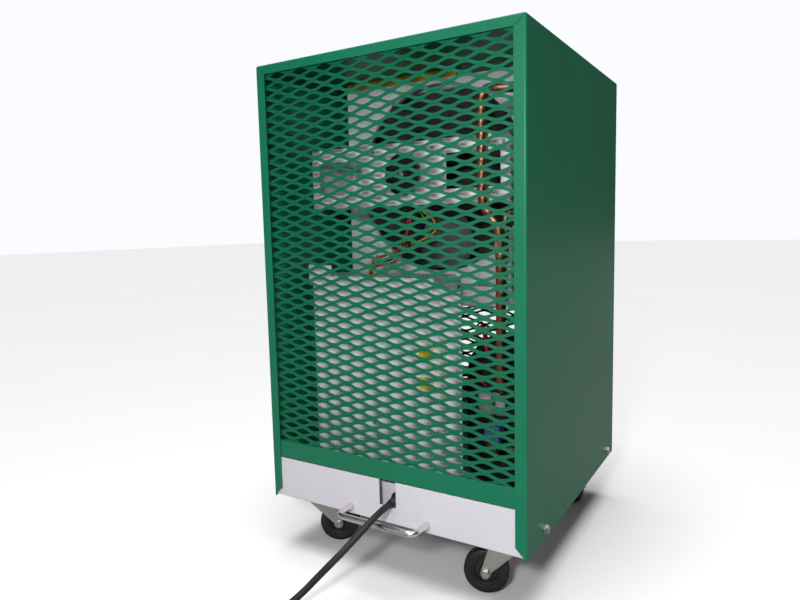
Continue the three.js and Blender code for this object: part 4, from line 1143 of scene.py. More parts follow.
# %% Foam strip
FOAM_LOW, FOAM_HIGH = span("foam_strip")
strip = block(*zip(FOAM_LOW, FOAM_HIGH))
bmesh.ops.subdivide_edges(strip, edges=strip.edges, cuts=5, use_grid_fill=True)
long_edges = [e for e in strip.edges if abs(e.verts[0].co.x - e.verts[1].co.x) > 1]
bmesh.ops.subdivide_edges(strip, edges=long_edges, cuts=9, use_grid_fill=True)
chance = random.Random(7)
for vert in strip.verts:
    edge_room = min(vert.co.z - FOAM_LOW.z, FOAM_HIGH.z - vert.co.z, 2)
    vert.co.y += chance.uniform(0, 0.9) if vert.co.y < middle("foam_strip").y else -chance.uniform(0, 0.9)
    vert.co.z += chance.uniform(-0.2, 0.2) * edge_room
piece_from(strip, "foam_seal", FOAM, "yellow_foam", stands_for=["foam_strip"], smooth=True)
print("foam made")

# %% [markdown]
# ## Motor and bracket
#
# The motor hangs in a white bracket: a plate across the front with a round hole for the motor's end and a
# window each side, and an arm folded back to the bulkhead at each end. The motor is turned: a ribbed black
# drum with a bright shaft. Cooling ribs are one thin bar, copied round the drum.

# %% Bracket and motor
BRACKET_LOW, BRACKET_HIGH = span("motor_bracket")
BRACKET_HALF = BRACKET_HIGH.x
MOTOR_HOLE = 36.0
MOTOR_RADIUS = 46.0


def bracket():
    low, high = BRACKET_LOW, BRACKET_HIGH
    windows = [
        rectangle(84, BRACKET_HALF - 17, FAN_Z - 29, FAN_Z + 29),
        rectangle(17 - BRACKET_HALF, -84, FAN_Z - 29, FAN_Z + 29),
    ]
    hole = ring((0, FAN_Z), MOTOR_HOLE, 64)
    bm = plate(rectangle(-BRACKET_HALF + 3, BRACKET_HALF - 3, low.z, high.z), [hole, *windows], low.y)
    for way in (-1, 1):
        x = way * BRACKET_HALF
        arm = [
            (x - way * 3, low.y, low.z), (x, low.y, low.z), (x, high.y, low.z),
            (x - way * 15, high.y, low.z),
        ]
        add(bm, folded(arm, (0, 0, high.z - low.z), 2.5))
    return bm


motor_bracket = piece_from(
    bracket(), "white_motor_bracket", INNER_WHITE_PAINTED_LIGHT, "white_paint", stands_for=["motor_bracket"], smooth=True
)
thickened(motor_bracket, 2.0, 0.0).modifiers["wall"].offset = -0.9


def motor():
    low, high = span("fan_motor")
    front, back = low.y + 7, low.y + 93
    shell = [
        (31, front), (33, front + 1.5), (44.5, front + 3), (45.4, front + 5), (45.4, front + 18),
        (44, front + 19), (44, back - 32), (45.4, back - 31), (45.4, back - 16), (44, back - 12),
        (33, back - 2), (31.5, back), (6, back), (6, high.y),
    ]
    face = [
        (0, front + 4), (9.5, front + 4), (10.5, front - 0.5), (13, front - 0.8), (14.5, front + 2),
        (26, front + 2.6), (29, front - 0.5), (31, front),
    ]
    bm = turned(face + shell[1:] + [(0, high.y)], 64)
    for i in range(40):
        fin = block((44, 45.8), (-0.7, 0.7), (front + 19.5, back - 32.5))
        add(bm, fin, Matrix.Rotation(2 * math.pi * i / 40, 4, "Z"))
    for i in range(4):
        turn = Matrix.Rotation(math.pi * (i + 0.5) / 2, 4, "Z")
        spot = Matrix.Translation((21.5, 0, front + 2.6)) @ TURNED_OVER
        hex_head(bm, turn @ spot, 2.8, 2.4, 4)
    bm.transform(TURN_TO["Y"])
    return bm, low.y


motor_bm, SHAFT_TIP = motor()
piece_from(
    motor_bm, "ribbed_motor", MOTOR_BLACK, "black_paint", stands_for=["fan_motor"], smooth=True,
    turned=Matrix.Translation((0, 0, FAN_Z)),
)
piece_from(
    disc(4.9, SHAFT_TIP, SHAFT_TIP + 13, 28, 0.8), "motor_shaft_end", BRIGHT_BAR, "bright_steel",
    smooth=True, turned=at((0, 0, FAN_Z), "Y"),
)
print("motor made")

# %% [markdown]
# ## The fan
#
# Five broad blades on a domed hub push the air back through the coils. A blade starts as a flat grid. It is
# squeezed into the blade's outline, set at its pitch and bowed, so that it scoops, and then thickened. Doing
# it with a grid instead of an outline gives it rows of points that the bow can bend.

# %% Rotor
HUB_RADIUS = 36.0
BLADE_TIP = 168.0
BLADE_PITCH = math.radians(27)


def blade():
    bm = bmesh.new()
    bmesh.ops.create_grid(bm, x_segments=10, y_segments=8, size=1)
    for vert in bm.verts:
        out = (vert.co.x + 1) / 2
        radius = (HUB_RADIUS - 6) + (BLADE_TIP - HUB_RADIUS + 6) * out
        half_chord = 17 + 33 * math.sin(min(out * 1.25, 1) * math.pi / 2)
        corner = 1 - 0.25 * max(0, out - 0.8) / 0.2 * abs(vert.co.y) ** 3
        lean = -5 * math.sin(out * math.pi)
        chord = vert.co.y * half_chord * corner + lean
        bow = 7 * (1 - vert.co.y ** 2) * (0.4 + 0.6 * out)
        vert.co = (math.sqrt(max(radius ** 2 - chord ** 2, 0)) if out > 0.9 else radius, chord, bow)
    bmesh.ops.rotate(bm, verts=bm.verts, cent=(0, 0, 0), matrix=Matrix.Rotation(-BLADE_PITCH, 3, "X"))
    bmesh.ops.recalc_face_normals(bm, faces=bm.faces)
    bmesh.ops.solidify(bm, geom=bm.faces[:], thickness=1.6)
    return bm


def rotor():
    middle_y = (ROTOR_LOW.y + ROTOR_HIGH.y) / 2
    bm = turned(
        [(6.6, -18), (31, -18), (35, -16.4), (36, -13), (36, 13), (34.6, 16.5), (30, 18.6), (0, 19)], 64
    )
    for i in range(5):
        add(bm, blade(), Matrix.Rotation(2 * math.pi * i / 5 + 0.2, 4, "Z"))
    return bm, middle_y


rotor_bm, ROTOR_Y = rotor()
piece_from(
    rotor_bm, "fan_blades", FAN_GREY, "fan_plastic", "fan", ["fan_rotor"], True,
    at((0, ROTOR_Y, FAN_Z), "Y"),
)
print("fan made")

# %% [markdown]
# ## Coils
#
# Each coil is a stack of thin aluminium fins on rows of copper tube, joined at the ends by U-bends. At the
# back the evaporator shows through the rear grille, so the fins are real sheets. One fin is a thin block of
# six faces and is copied along the coil. The tubes are turned rods, and each bend is a ring spun half round.

# %% Coils and housing
FIN_PITCH = 3.0


def coil_set(node, name, rows):
    low, high = span(node)
    fins = bmesh.new()
    first, last = low.x + 3, high.x - 3
    count = int((last - first) / FIN_PITCH)
    for i in range(count + 1):
        x = first + (last - first) * i / count
        add(fins, block((x - 0.12, x + 0.12), (low.y + 2, high.y - 2), (low.z + 3, high.z - 3)))
    piece_from(fins, f"{name}_fins", ALUMINIUM, "aluminium", stands_for=[node])
    ends = bmesh.new()
    for x in (low.x, high.x):
        inward = 1.2 if x < 0 else -1.2
        add(ends, block(sorted((x, x + inward)), (low.y, high.y), (low.z, high.z)))
    piece_from(ends, f"{name}_end_plates", ZINC, "zinc")
    pitch = (high.z - low.z - 30) / 13
    bends = bmesh.new()
    for row in range(rows):
        y = low.y + (high.y - low.y) * (row + 0.5) / rows
        for i in range(14):
            z = low.z + 15 + i * pitch
            add(bends, disc(4.6, low.x - 6, high.x + 6, 12), at((0, y, z), "X"))
        for i in range(0, 13):
            x = high.x + 6 if i % 2 else low.x - 6
            way = 1 if i % 2 else -1
            u_bend = bmesh.new()
            bmesh.ops.create_circle(u_bend, segments=12, radius=4.6)
            u_bend.transform(Matrix.Translation((0, 0, -pitch / 2)) @ TURN_TO["X"])
            bmesh.ops.spin(
                u_bend, geom=u_bend.verts[:] + u_bend.edges[:], cent=(0, 0, 0), axis=(0, way, 0),
                angle=-math.pi, steps=8,
            )
            add(bends, u_bend, Matrix.Translation((x, y, low.z + 15 + (i + 0.5) * pitch)))
    piece_from(bends, f"{name}_tubes", COPPER, "copper", smooth=True)


coil_set("condenser_coil", "condenser", 2)
coil_set("evaporator_coil", "evaporator", 2)

HOUSING_SHEET = 1.2
housing_half = COIL_HOUSING_HIGH.x
housing_front, housing_back = COIL_HOUSING_LOW.y, COIL_HOUSING_HIGH.y
housing_top, housing_bottom = COIL_HOUSING_HIGH.z, PLATE_BOTTOM + PLATE_SHEET + 0.4
shell_bm = block(
    (-housing_half, housing_half), (housing_front, housing_back), (housing_bottom, housing_top)
)
open_ends = [f for f in shell_bm.faces if abs(f.normal.y) > 0.5]
bmesh.ops.delete(shell_bm, geom=open_ends, context="FACES_ONLY")
bmesh.ops.bevel(
    shell_bm, geom=[e for e in shell_bm.edges if len(e.link_faces) == 2], offset=2.4, segments=4,
    profile=0.5, affect="EDGES", material=-1,
)
for way in (-1, 1):
    x = way * housing_half
    leg = folded([(x, housing_back - 80, 5.4), (x, housing_back, 5.4)], (0, 0, housing_bottom), 0)
    add(shell_bm, leg)
housing = piece_from(
    shell_bm, "white_coil_housing", INNER_WHITE_PAINTED_LIGHT, "white_paint", stands_for=["coil_housing"], smooth=True
)
thickened(housing, HOUSING_SHEET, 0.0, even=False).modifiers["wall"].offset = -0.9
print("coils made")

# %% [markdown]
# ## Drip tray and drain
#
# Water from the coils falls into a white tray, and a soft tube takes it to a barb in the back wall. The tray
# is a block that has lost its top, and the tube follows a smooth line between the two.

# %% Drip tray and drain
TRAY_LOW, TRAY_HIGH = span("drip_tray")
TRAY_BOTTOM = TRAY_HIGH.z - 46
pan = block((TRAY_LOW.x, TRAY_HIGH.x), (TRAY_LOW.y, TRAY_HIGH.y), (TRAY_BOTTOM, TRAY_HIGH.z))
bmesh.ops.delete(pan, geom=[f for f in pan.faces if f.normal.z > 0.5], context="FACES_ONLY")
bmesh.ops.bevel(
    pan, geom=[e for e in pan.edges if len(e.link_faces) == 2], offset=3.0, segments=3, profile=0.5,
    affect="EDGES", material=-1,
)
pan_piece = piece_from(
    pan, "white_drip_tray", INNER_WHITE_PAINTED_LIGHT, "white_paint", stands_for=["drip_tray"], smooth=True
)
thickened(pan_piece, 1.5)
DRAIN_X, DRAIN_Z = -150.0, 45.0
outlet_y = housing_back - 40
piece_from(
    disc(8, TRAY_LOW.z, TRAY_BOTTOM + 1, 28, 0.4), "drip_tray_outlet", BLACK_PLASTIC, "black_plastic",
    smooth=True, turned=at((DRAIN_X, outlet_y, 0)),
)
hose_top = TRAY_LOW.z - 0.4
BACK_WALL = DEPTH - 2
hose_line = smooth_line(
    [
        (DRAIN_X, outlet_y, hose_top), (DRAIN_X, outlet_y, hose_top - 50),
        (DRAIN_X, outlet_y + 4, (hose_top + 80) / 2 + 20), (DRAIN_X, outlet_y + 12, DRAIN_Z + 70),
        (DRAIN_X, outlet_y + 30, DRAIN_Z + 22), (DRAIN_X, outlet_y + 62, DRAIN_Z),
        (DRAIN_X, BACK_WALL - 30.4, DRAIN_Z),
    ]
)
tube("drain_tube", hose_line, 8, HOSE_CLEAR, stands_for=["drain_hose"])
barb = [
    (5.5, -30), (7.2, -30), (8, -26), (8, -8), (13, -8), (13, -2.6), (8, -2.6), (8, 0.4), (12, 0.6),
    (12, 5), (8, 5.4), (7.4, 9), (8, 9.2), (7.4, 13.4), (8, 13.6), (7.2, 18.5), (6.8, 22), (5.5, 22),
]
piece_from(
    turned(barb, 40, closed=True), "drain_barb", BLACK_PLASTIC, "black_plastic",
    stands_for=["drain_spigot"], smooth=True, turned=at((DRAIN_X, BACK_WALL, DRAIN_Z), "Y"),
)
print("drain made")

# %% [markdown]
# ## The compressor
#
# The compressor is a black welded steel pot. Its profile is spun, with a bead where the two halves were
# welded together. The cap over its terminals is moulded plastic, cut to the pot's curve, and a blank label is
# stuck beside it. The pot stands on a foot plate, on four rubber feet.

# %% Compressor
POT_LOW, POT_HIGH = span("compressor")
POT_RADIUS = 76.0
POT = Vector(((POT_LOW.x + POT_HIGH.x) / 2, (POT_LOW.y + POT_HIGH.y) / 2, 0))
POT_TOP = POT_HIGH.z


def compressor():
    r, top = POT_RADIUS, POT_TOP
    shell = [
        (0, 22.5), (r - 16, 22.5), (r - 8, 27), (r - 3, 34), (r - 0.8, 42), (r - 0.6, 50),
        (r - 0.6, top - 112),
        (r, top - 110.5), (r, top - 106.5), (r - 0.6, top - 105), (r - 0.8, top - 78), (r - 3, top - 60),
        (r - 9, top - 43), (r - 20, top - 26), (r - 34, top - 13), (r - 50, top - 5.5), (r - 64, top - 1.2),
        (0, top - 0.2),
    ]
    bm = turned(shell, 72)
    reach = r * 0.9
    foot = block((-reach, reach), (-reach, reach), (16, 19))
    bmesh.ops.bevel(
        foot, geom=[e for e in foot.edges if abs(e.verts[0].co.z - e.verts[1].co.z) > 1], offset=14,
        segments=6, profile=0.5, affect="EDGES", material=-1,
    )
    add(bm, foot)
    add(bm, disc(r - 24, 18, 24, 40))
    bm.transform(Matrix.Translation(POT))
    return bm


pot = piece_from(
    compressor(), "compressor_pot", BLACK_ENAMEL, "black_paint", stands_for=["compressor"], smooth=True
)
eased(pot, 0.4)
feet = bmesh.new()
for a in (-1, 1):
    for b in (-1, 1):
        spot = POT + Vector((a, b, 0)) * (POT_RADIUS * 0.9 - 10)
        grommet = [(0, 5.4), (8.6, 5.4), (9, 6.4), (8.2, 9), (9, 12), (9, 15.6), (0, 15.6)]
        add(feet, turned(grommet, 28), Matrix.Translation(spot))
        hex_head(feet, Matrix.Translation(spot + Vector((0, 0, 19.1))), 4.6, 3.6, 7)
piece_from(feet, "compressor_rubber_feet", TYRE, "black_rubber", smooth=True)

cap = bmesh.new()
pot_front = POT.y - POT_RADIUS
arc = [math.radians(a) for a in range(-96, -49, 3)]
inner = [(POT_RADIUS + 0.5) * Vector((math.cos(a), math.sin(a))) + POT.xy for a in arc]
rim = [Vector((POT.x - 6, pot_front - 22)), Vector((POT.x + 36, pot_front - 22))]
rim += [Vector((POT.x + 38, pot_front - 18)), Vector((POT.x + 38, pot_front + 8))]
inner = [p for p in inner if POT.x - 6 < p.x < POT.x + 38]
outline = [rim[0], rim[1], rim[2], *[p for p in reversed(inner)]]
corners = [cap.verts.new((p.x, p.y, POT_TOP - 84)) for p in outline]
lid = bmesh.ops.extrude_face_region(cap, geom=[cap.faces.new(corners)])["geom"]
bmesh.ops.translate(cap, verts=only_verts(lid), vec=(0, 0, 54))
cap_piece = piece_from(
    cap, "terminal_cap", BLACK_PLASTIC, "black_plastic", stands_for=["compressor_terminal_cover"]
)
eased(cap_piece, 1.6, 3)


def patch(centre_angle, z, wide, tall, radius):
    """A thin label bent round the pot, seen from outside."""
    bm = bmesh.new()
    bmesh.ops.create_grid(bm, x_segments=12, y_segments=2, size=0.5)
    for vert in bm.verts:
        turn = centre_angle + vert.co.x * wide / radius
        vert.co = (radius * math.cos(turn), radius * math.sin(turn), z + vert.co.y * tall)
    bm.transform(Matrix.Translation(POT))
    return bm


label = piece_from(
    patch(math.radians(-91), POT_TOP - 118, 55, 42, POT_RADIUS + 0.15), "compressor_blank_label", LABEL,
    "grey_plastic", smooth=True,
)
thickened(label, 0.25, 1.0)
print("compressor made")

# %% [markdown]
# ## Pipes
#
# The refrigerant runs through copper tube. Each pipe is a few straight runs with rounded corners, made as a
# curve with a round bevel.

# %% Pipes
SUCTION_RADIUS, PIPE_RADIUS = 8.0, 4.8
HOUSING_SIDE = COIL_HOUSING_HIGH.x + 0.4
INNER_LANE = COIL_HOUSING_HIGH.x + 14
OUTER_LANE = INNER_LANE + 20
PLATE_TOP = PLATE_HIGH.z
BEFORE = BRACKET_LOW.y - 16
FRONT_X = POT.x + 66
UPPER_X = FRONT_X - 29
PIPE_LEVEL = POT_TOP - 96
CONDENSER_Y = span("condenser_coil")[0].y + 30
EVAPORATOR_Y = span("evaporator_coil")[0].y + 30
inlet_y = POT.y - math.sqrt(POT_RADIUS ** 2 - (FRONT_X - POT.x) ** 2) - 6
suction_corners = [
    (HOUSING_SIDE, EVAPORATOR_Y, PLATE_TOP - 70), (OUTER_LANE, EVAPORATOR_Y, PLATE_TOP - 70),
    (OUTER_LANE, BEFORE + 40, PLATE_TOP - 62), (UPPER_X, BEFORE, PLATE_TOP - 62),
    (UPPER_X, BEFORE, BRACKET_LOW.z - 4), (FRONT_X, BEFORE + 4, BRACKET_LOW.z - 44),
    (FRONT_X, BEFORE + 4, PIPE_LEVEL + 30), (FRONT_X, inlet_y, PIPE_LEVEL + 30),
]
discharge_corners = [
    (POT.x + POT_RADIUS + 0.4, POT.y, PIPE_LEVEL), (INNER_LANE, POT.y, PIPE_LEVEL),
    (INNER_LANE, POT.y, PLATE_BOTTOM + 100), (INNER_LANE, CONDENSER_Y, PLATE_BOTTOM + 120),
    (HOUSING_SIDE, CONDENSER_Y, PLATE_BOTTOM + 120),
]
DRIER = (FRONT_X - 4, BEFORE + 34)
DRIER_TOP = PLATE_BOTTOM + 62
liquid_corners = [
    (HOUSING_SIDE, CONDENSER_Y, PLATE_BOTTOM + 60), (OUTER_LANE, CONDENSER_Y, PLATE_BOTTOM + 60),
    (OUTER_LANE, DRIER[1] + 30, PLATE_BOTTOM + 114), (*DRIER, PLATE_BOTTOM + 130), (*DRIER, DRIER_TOP + 0.4),
]
VALVE = Vector((FRONT_X - 44, pot_front - 38, PIPE_LEVEL - 86))
hot_gas_corners = [
    (VALVE.x + 18.4, VALVE.y, VALVE.z), (FRONT_X + 24, VALVE.y, VALVE.z),
    (FRONT_X + 24, VALVE.y, PLATE_BOTTOM - 20.4), (OUTER_LANE, VALVE.y + 50, PLATE_BOTTOM + 30),
    (OUTER_LANE, EVAPORATOR_Y, PLATE_BOTTOM + 34), (HOUSING_SIDE, EVAPORATOR_Y, PLATE_BOTTOM + 34),
]
for name, corners, radius, bend in (
    ("suction", suction_corners, SUCTION_RADIUS, 20), ("discharge", discharge_corners, PIPE_RADIUS, 16),
    ("liquid", liquid_corners, PIPE_RADIUS, 14), ("hot_gas", hot_gas_corners, PIPE_RADIUS - 1, 12),
):
    line = bent_line(corners, bend)
    tube(f"{name}_copper", line, radius, COPPER, stands_for=[f"{name}_pipe"], sides=6)
    print(name, "pipe", round(length_of(line)), "mm")

# %% [markdown]
# ## Drier, valve and coil
#
# The drier is turned from one outline. The valve is a bevelled block with a turned stem and one stub. The
# coil is a block with rounded corners, whose ends are inset and pushed in to leave a rim.

# %% Drier, valve and coil
can = [
    (0, -77), (5.6, -77), (5.6, -70), (8, -67), (12, -62), (13, -58), (13, -16), (12, -12), (8, -8.5),
    (5.6, -6), (5.6, 0), (0, 0),
]
piece_from(
    turned(can, 40), "white_drier", INNER_WHITE_PAINTED_LIGHT, "white_paint", stands_for=["filter_drier"], smooth=True,
    turned=Matrix.Translation((*DRIER, DRIER_TOP)),
)
valve = block((-10, 10), (-10, 10), (-10, 10))
bmesh.ops.bevel(
    valve, geom=valve.edges[:], offset=1.6, segments=2, profile=0.5, affect="EDGES", material=-1
)
add(valve, turned([(0, 9), (8.4, 9), (8.4, 10.8), (5.9, 10.9), (5.9, 44), (4.4, 45.8), (0, 46)], 32))
add(valve, turned([(0, 9.5), (6.4, 9.5), (6.4, 14), (4.6, 14.6), (4.6, 18), (0, 18)], 24), TURN_TO["X"])
piece_from(
    valve, "brass_valve", BRASS, "brass", stands_for=["solenoid_valve"], smooth=True,
    turned=Matrix.Translation(VALVE),
)
coil_body = block((-14, 14), (-14, 14), (11.4, 40))
upright = [e for e in coil_body.edges if abs(e.verts[0].co.z - e.verts[1].co.z) > 1]
bmesh.ops.bevel(coil_body, geom=upright, offset=5, segments=5, profile=0.5, affect="EDGES", material=-1)
rims = [f for f in coil_body.faces if abs(f.normal.z) > 0.9]
for face in rims:
    bmesh.ops.inset_region(coil_body, faces=[face], thickness=3.0)
    bmesh.ops.translate(coil_body, verts=face.verts[:], vec=face.normal * -1.6)
coil_piece = piece_from(
    coil_body, "blue_valve_coil", COIL_BLUE, "blue_plastic", stands_for=["solenoid_coil"], smooth=True,
    turned=Matrix.Translation(VALVE),
)
eased(coil_piece, 0.6)
fitting = turned([(6.5, 0), (11, 0), (11, 13), (8.4, 14), (8.4, 22), (6.5, 22)], 6, closed=True)
add(fitting, turned([(6.5, -12), (9, -12), (9, 0), (6.5, 0)], 32, closed=True))
piece_from(
    fitting, "brass_flare_fitting", BRASS, "brass",
    turned=Matrix.Translation((FRONT_X, BEFORE + 4, BRACKET_LOW.z - 74)),
)
print("refrigeration made")

# %% [markdown]
# ## The electrical box
#
# A white steel box stands on the base. Its shell is an outline pulled back from its open front. A flat cover
# and a narrow folded one close it, with a thin gap between them that shows as a line. Small screws hold them.

# %% Box and covers
BOX_LOW, BOX_HIGH = span("electrical_box")
COVER_LOW, COVER_HIGH = span("box_cover")
SIDE_LOW, SIDE_HIGH = span("box_side_cover")
BOX_TOP = COVER_HIGH.z - 20
SEAM = COVER_HIGH.x + 0.2


def pulled_back(outline, y, depth):
    """An open-fronted box of sheet: its back is the outline, and its walls come forward from it."""
    bm = bmesh.new()
    back = bm.faces.new([bm.verts.new((x, y + depth, z)) for x, z in outline])
    edges = back.edges[:]
    out = bmesh.ops.extrude_edge_only(bm, edges=edges)["geom"]
    bmesh.ops.translate(bm, verts=only_verts(out), vec=(0, -depth, 0))
    return bm


box_outline = [(BOX_LOW.x, COVER_LOW.z), (SEAM, COVER_LOW.z), (SEAM, BOX_TOP), (BOX_LOW.x, BOX_TOP)]
box_shell = piece_from(
    pulled_back(box_outline, BOX_LOW.y, BOX_HIGH.y - BOX_LOW.y), "white_electrical_box", INNER_WHITE_PAINTED_LIGHT,
    "white_paint", stands_for=["electrical_box"],
)
thickened(box_shell, 1.4)
cover_outline = [
    (COVER_HIGH.x - 1, COVER_LOW.z), (COVER_HIGH.x - 1, BOX_TOP), (COVER_LOW.x + 54, BOX_TOP),
    (COVER_LOW.x + 54, COVER_HIGH.z), (COVER_LOW.x, COVER_HIGH.z), (COVER_LOW.x, BOX_TOP - 19),
    (BOX_LOW.x, BOX_TOP - 19), (BOX_LOW.x, COVER_LOW.z),
]
front_cover = piece_from(
    plate(list(reversed(cover_outline)), (), COVER_LOW.y), "white_box_cover", INNER_WHITE_PAINTED_LIGHT, "white_paint",
    stands_for=["box_cover"],
)
eased(thickened(front_cover, 1.4), 0.3)
narrow_bend = [
    (SIDE_HIGH.x, SIDE_LOW.y, SIDE_LOW.z), (SIDE_LOW.x, SIDE_LOW.y, SIDE_LOW.z),
    (SIDE_LOW.x, SIDE_HIGH.y, SIDE_LOW.z),
]
narrow_cover = piece_from(
    folded(narrow_bend, (0, 0, SIDE_HIGH.z - SIDE_LOW.z), 2.0), "white_narrow_cover", INNER_WHITE_PAINTED_LIGHT,
    "white_paint", stands_for=["box_side_cover"],
)
eased(thickened(narrow_cover, 1.4), 0.3)

screws = bmesh.new()
face_y = COVER_LOW.y - 0.05
for x, z in ((-123, 288), (-71, 147), (SIDE_LOW.x + 6, 149), (SIDE_LOW.x + 23, 302)):
    pan_head(screws, at((x, face_y, z), "Y") @ TURNED_OVER, 3.6)
for x in (-BRACKET_HALF + 12, BRACKET_HALF - 12, -58, 58):
    pan_head(screws, at((x, BRACKET_LOW.y - 0.05, FAN_Z + 40), "Y") @ TURNED_OVER, 3.4)
piece_from(screws, "cover_screws", ZINC, "zinc", smooth=True)
MARK_WIDE, MARK_TALL = 29, 22
for i, z in enumerate((284, 231)):
    right = SEAM - 2
    sticker = rectangle(right - MARK_WIDE, right, z - MARK_TALL / 2, z + MARK_TALL / 2)
    mark = piece_from(
        plate(sticker, (), COVER_LOW.y - 0.3), f"blank_yellow_mark_{i + 1}", YELLOW_LABEL, "yellow_foam"
    )
    thickened(mark, 0.2)
print("box made")

# %% [markdown]
# ## Inside the box
#
# The capacitor is a turned can that lies along the box, and the terminals are a row of blocks with a screw at
# each end. The closed covers hide both.

# %% Inside the box
can_low, can_high = span("run_capacitor")
can_spot = middle("run_capacitor")
can_long = can_high.y - can_low.y
drum_profile = [
    (0, 0), (20, 0), (21.6, 1), (21.9, 3), (21.9, can_long - 4), (21, can_long - 2.4), (19.4, can_long - 2.4),
    (19.4, can_long - 4.4), (0, can_long - 4.4),
]
piece_from(
    turned(drum_profile, 48), "round_capacitor", ALUMINIUM, "aluminium", stands_for=["run_capacitor"],
    smooth=True, turned=at((can_spot.x, can_low.y, can_spot.z), "Y"),
)
rail_low, rail_high = span("terminal_block")
blocks = bmesh.new()
add(blocks, block((rail_low.x, rail_high.x), (rail_low.y + 10, rail_high.y), (rail_low.z, rail_high.z)))
for i in range(5):
    left = rail_low.x + 8 + i * 20
    deep, tall = (rail_low.y + 0.3, rail_low.y + 11), (rail_low.z + 6, rail_high.z - 6)
    add(blocks, block((left, left + 8), deep, tall))
    for z in (rail_low.z + 3, rail_high.z - 3):
        pan_head(blocks, at((left + 4, rail_low.y + 9.8, z), "Y") @ TURNED_OVER, 2.4, 1.4)
terminals = piece_from(blocks, "grey_terminals", TERMINAL_GREY, "grey_plastic", stands_for=["terminal_block"])
eased(terminals, 0.5)
print("inside of the box made")

# %% [markdown]
# ## Wires
#
# The wires to the fan motor leave the top of the box together and spread before they reach the motor. Each is
# a thin tube on a smooth line. The compressor's own wires loop out from under its cap. Crimped connectors are
# small pale sleeves at their ends.

# %% Wires
WIRE_RADIUS = 1.7
GROMMET = Vector(((BOX_LOW.x + 104), BOX_LOW.y + 40, BOX_TOP))
MOTOR_UNDER = Vector((-18, BRACKET_LOW.y + 60, FAN_Z - MOTOR_RADIUS - 1))


def wire(name, colour, points, stands_for=()):
    line = smooth_line(points, 6)
    return tube(name, line, WIRE_RADIUS, WIRES[colour], stands_for=stands_for, sides=3)


def from_box(shift, way_points):
    start = GROMMET + Vector((shift, 0, 0))
    end = MOTOR_UNDER + Vector((shift, shift, 0))
    return [start + Vector((0, 0, -24)), start + Vector((0, 0, 6)), *way_points, end]


ROUTES = [
    ("motor_wire_earth", "yellow", -4, [
        (-96, 128, 438), (-63, 148, 457), (-30, 148, 470), (6, 146, 482), (26, 146, 496),
        (22, 142, 516),
    ]),
    ("motor_wire_green", "green", -1, [
        (-88, 124, 432), (-62, 148, 452), (-30, 153, 466), (10, 150, 482), (8, 142, 514),
    ]),
    ("motor_wire_red", "red", 2, [
        (-92, 122, 444), (-74, 130, 450), (-50, 134, 458), (-32, 136, 488), (-24, 138, 520),
    ]),
    ("motor_wire_red_2", "red", 4, [
        (-86, 120, 430), (-66, 126, 434), (-44, 130, 446), (-28, 134, 484), (-20, 138, 518),
    ]),
    ("motor_wire_black", "black", 0, [
        (-98, 126, 434), (-70, 138, 440), (-34, 142, 462), (-14, 140, 498),
    ]),
]
for name, colour, shift, way_points in ROUTES:
    replaced = ["wiring_loom"] if name == "motor_wire_earth" else ()
    wire(name, colour, from_box(shift, way_points), replaced)

pot_terminal = Vector((POT.x + 4, pot_front - 16, POT_TOP - 32))
box_exit = Vector((SIDE_HIGH.x - 10, BOX_HIGH.y + 2, BOX_TOP - 110))
for i, colour in enumerate(("red", "red", "black")):
    spread = Vector((i * 7, -i * 3, 0))
    wire(
        f"compressor_wire_{i + 1}", colour,
        [
            box_exit + Vector((-6, 0.5, i * 8)), box_exit + Vector((6, 2 + i, 8 + i * 8)),
            (POT.x - 6 + i * 8, pot_front - 14 - i * 3, POT_TOP - 6 - i * 12), pot_terminal + spread,
            pot_terminal + spread + Vector((0, 2, -10)),
        ],
    )
wire(
    "valve_wire_red", "red",
    [
        (VALVE.x - 6, VALVE.y + 14, VALVE.z + 38), (VALVE.x - 10, VALVE.y + 20, VALVE.z + 60),
        (VALVE.x - 14, VALVE.y + 22, VALVE.z + 84), (SIDE_HIGH.x + 3, BOX_HIGH.y - 16, VALVE.z + 108),
        (SEAM + 1.7, BOX_HIGH.y - 20, VALVE.z + 112),
    ],
)
sleeves = bmesh.new()
for x, y, z in ((-104, 130, 449), (-106, 126, 434), (-60, 132, 431)):
    add(sleeves, turned([(0, 0), (3.4, 0), (4, 1), (4, 11), (3, 13), (0, 13)], 16), at((x, y, z), "X"))
piece_from(sleeves, "crimp_sleeves", LABEL, "grey_plastic", smooth=True)
print("wires made")

# %% [markdown]
# ## Gland, tie and plug
#
# The lead enters through a black gland with a tapered boot, held by a nut behind the white tab. The wound
# part of the lead is held by a strap. The plug is a moulded round body with a ribbed tail and two pins.

# %% Gland, tie and plug
GLAND_LOW, GLAND_HIGH = span("cable_gland")
boot_tip = GLAND_LOW.y
boot = [(5.7, boot_tip), (6.4, boot_tip)]
for i in range(6):
    near = boot_tip + 2.2 + i * 2.9
    boot += [(6.6 + i * 0.32, near), (6.0 + i * 0.36, near + 0.6)]
    boot += [(6.0 + i * 0.38, near + 1.3), (6.8 + i * 0.34, near + 1.9)]
boot += [
    (8.8, 17.8), (11.6, 18.2), (12, 19), (12, 25.2), (8, 25.6), (8, 28.3), (11.5, 28.4), (11.5, 33.6),
    (11, GLAND_HIGH.y), (5.7, GLAND_HIGH.y),
]
piece_from(
    turned(boot, 40, closed=True), "lead_gland", BLACK_PLASTIC, "black_plastic", stands_for=["cable_gland"],
    smooth=True, turned=at((GLAND.x, 0, GLAND.z), "Y"),
)

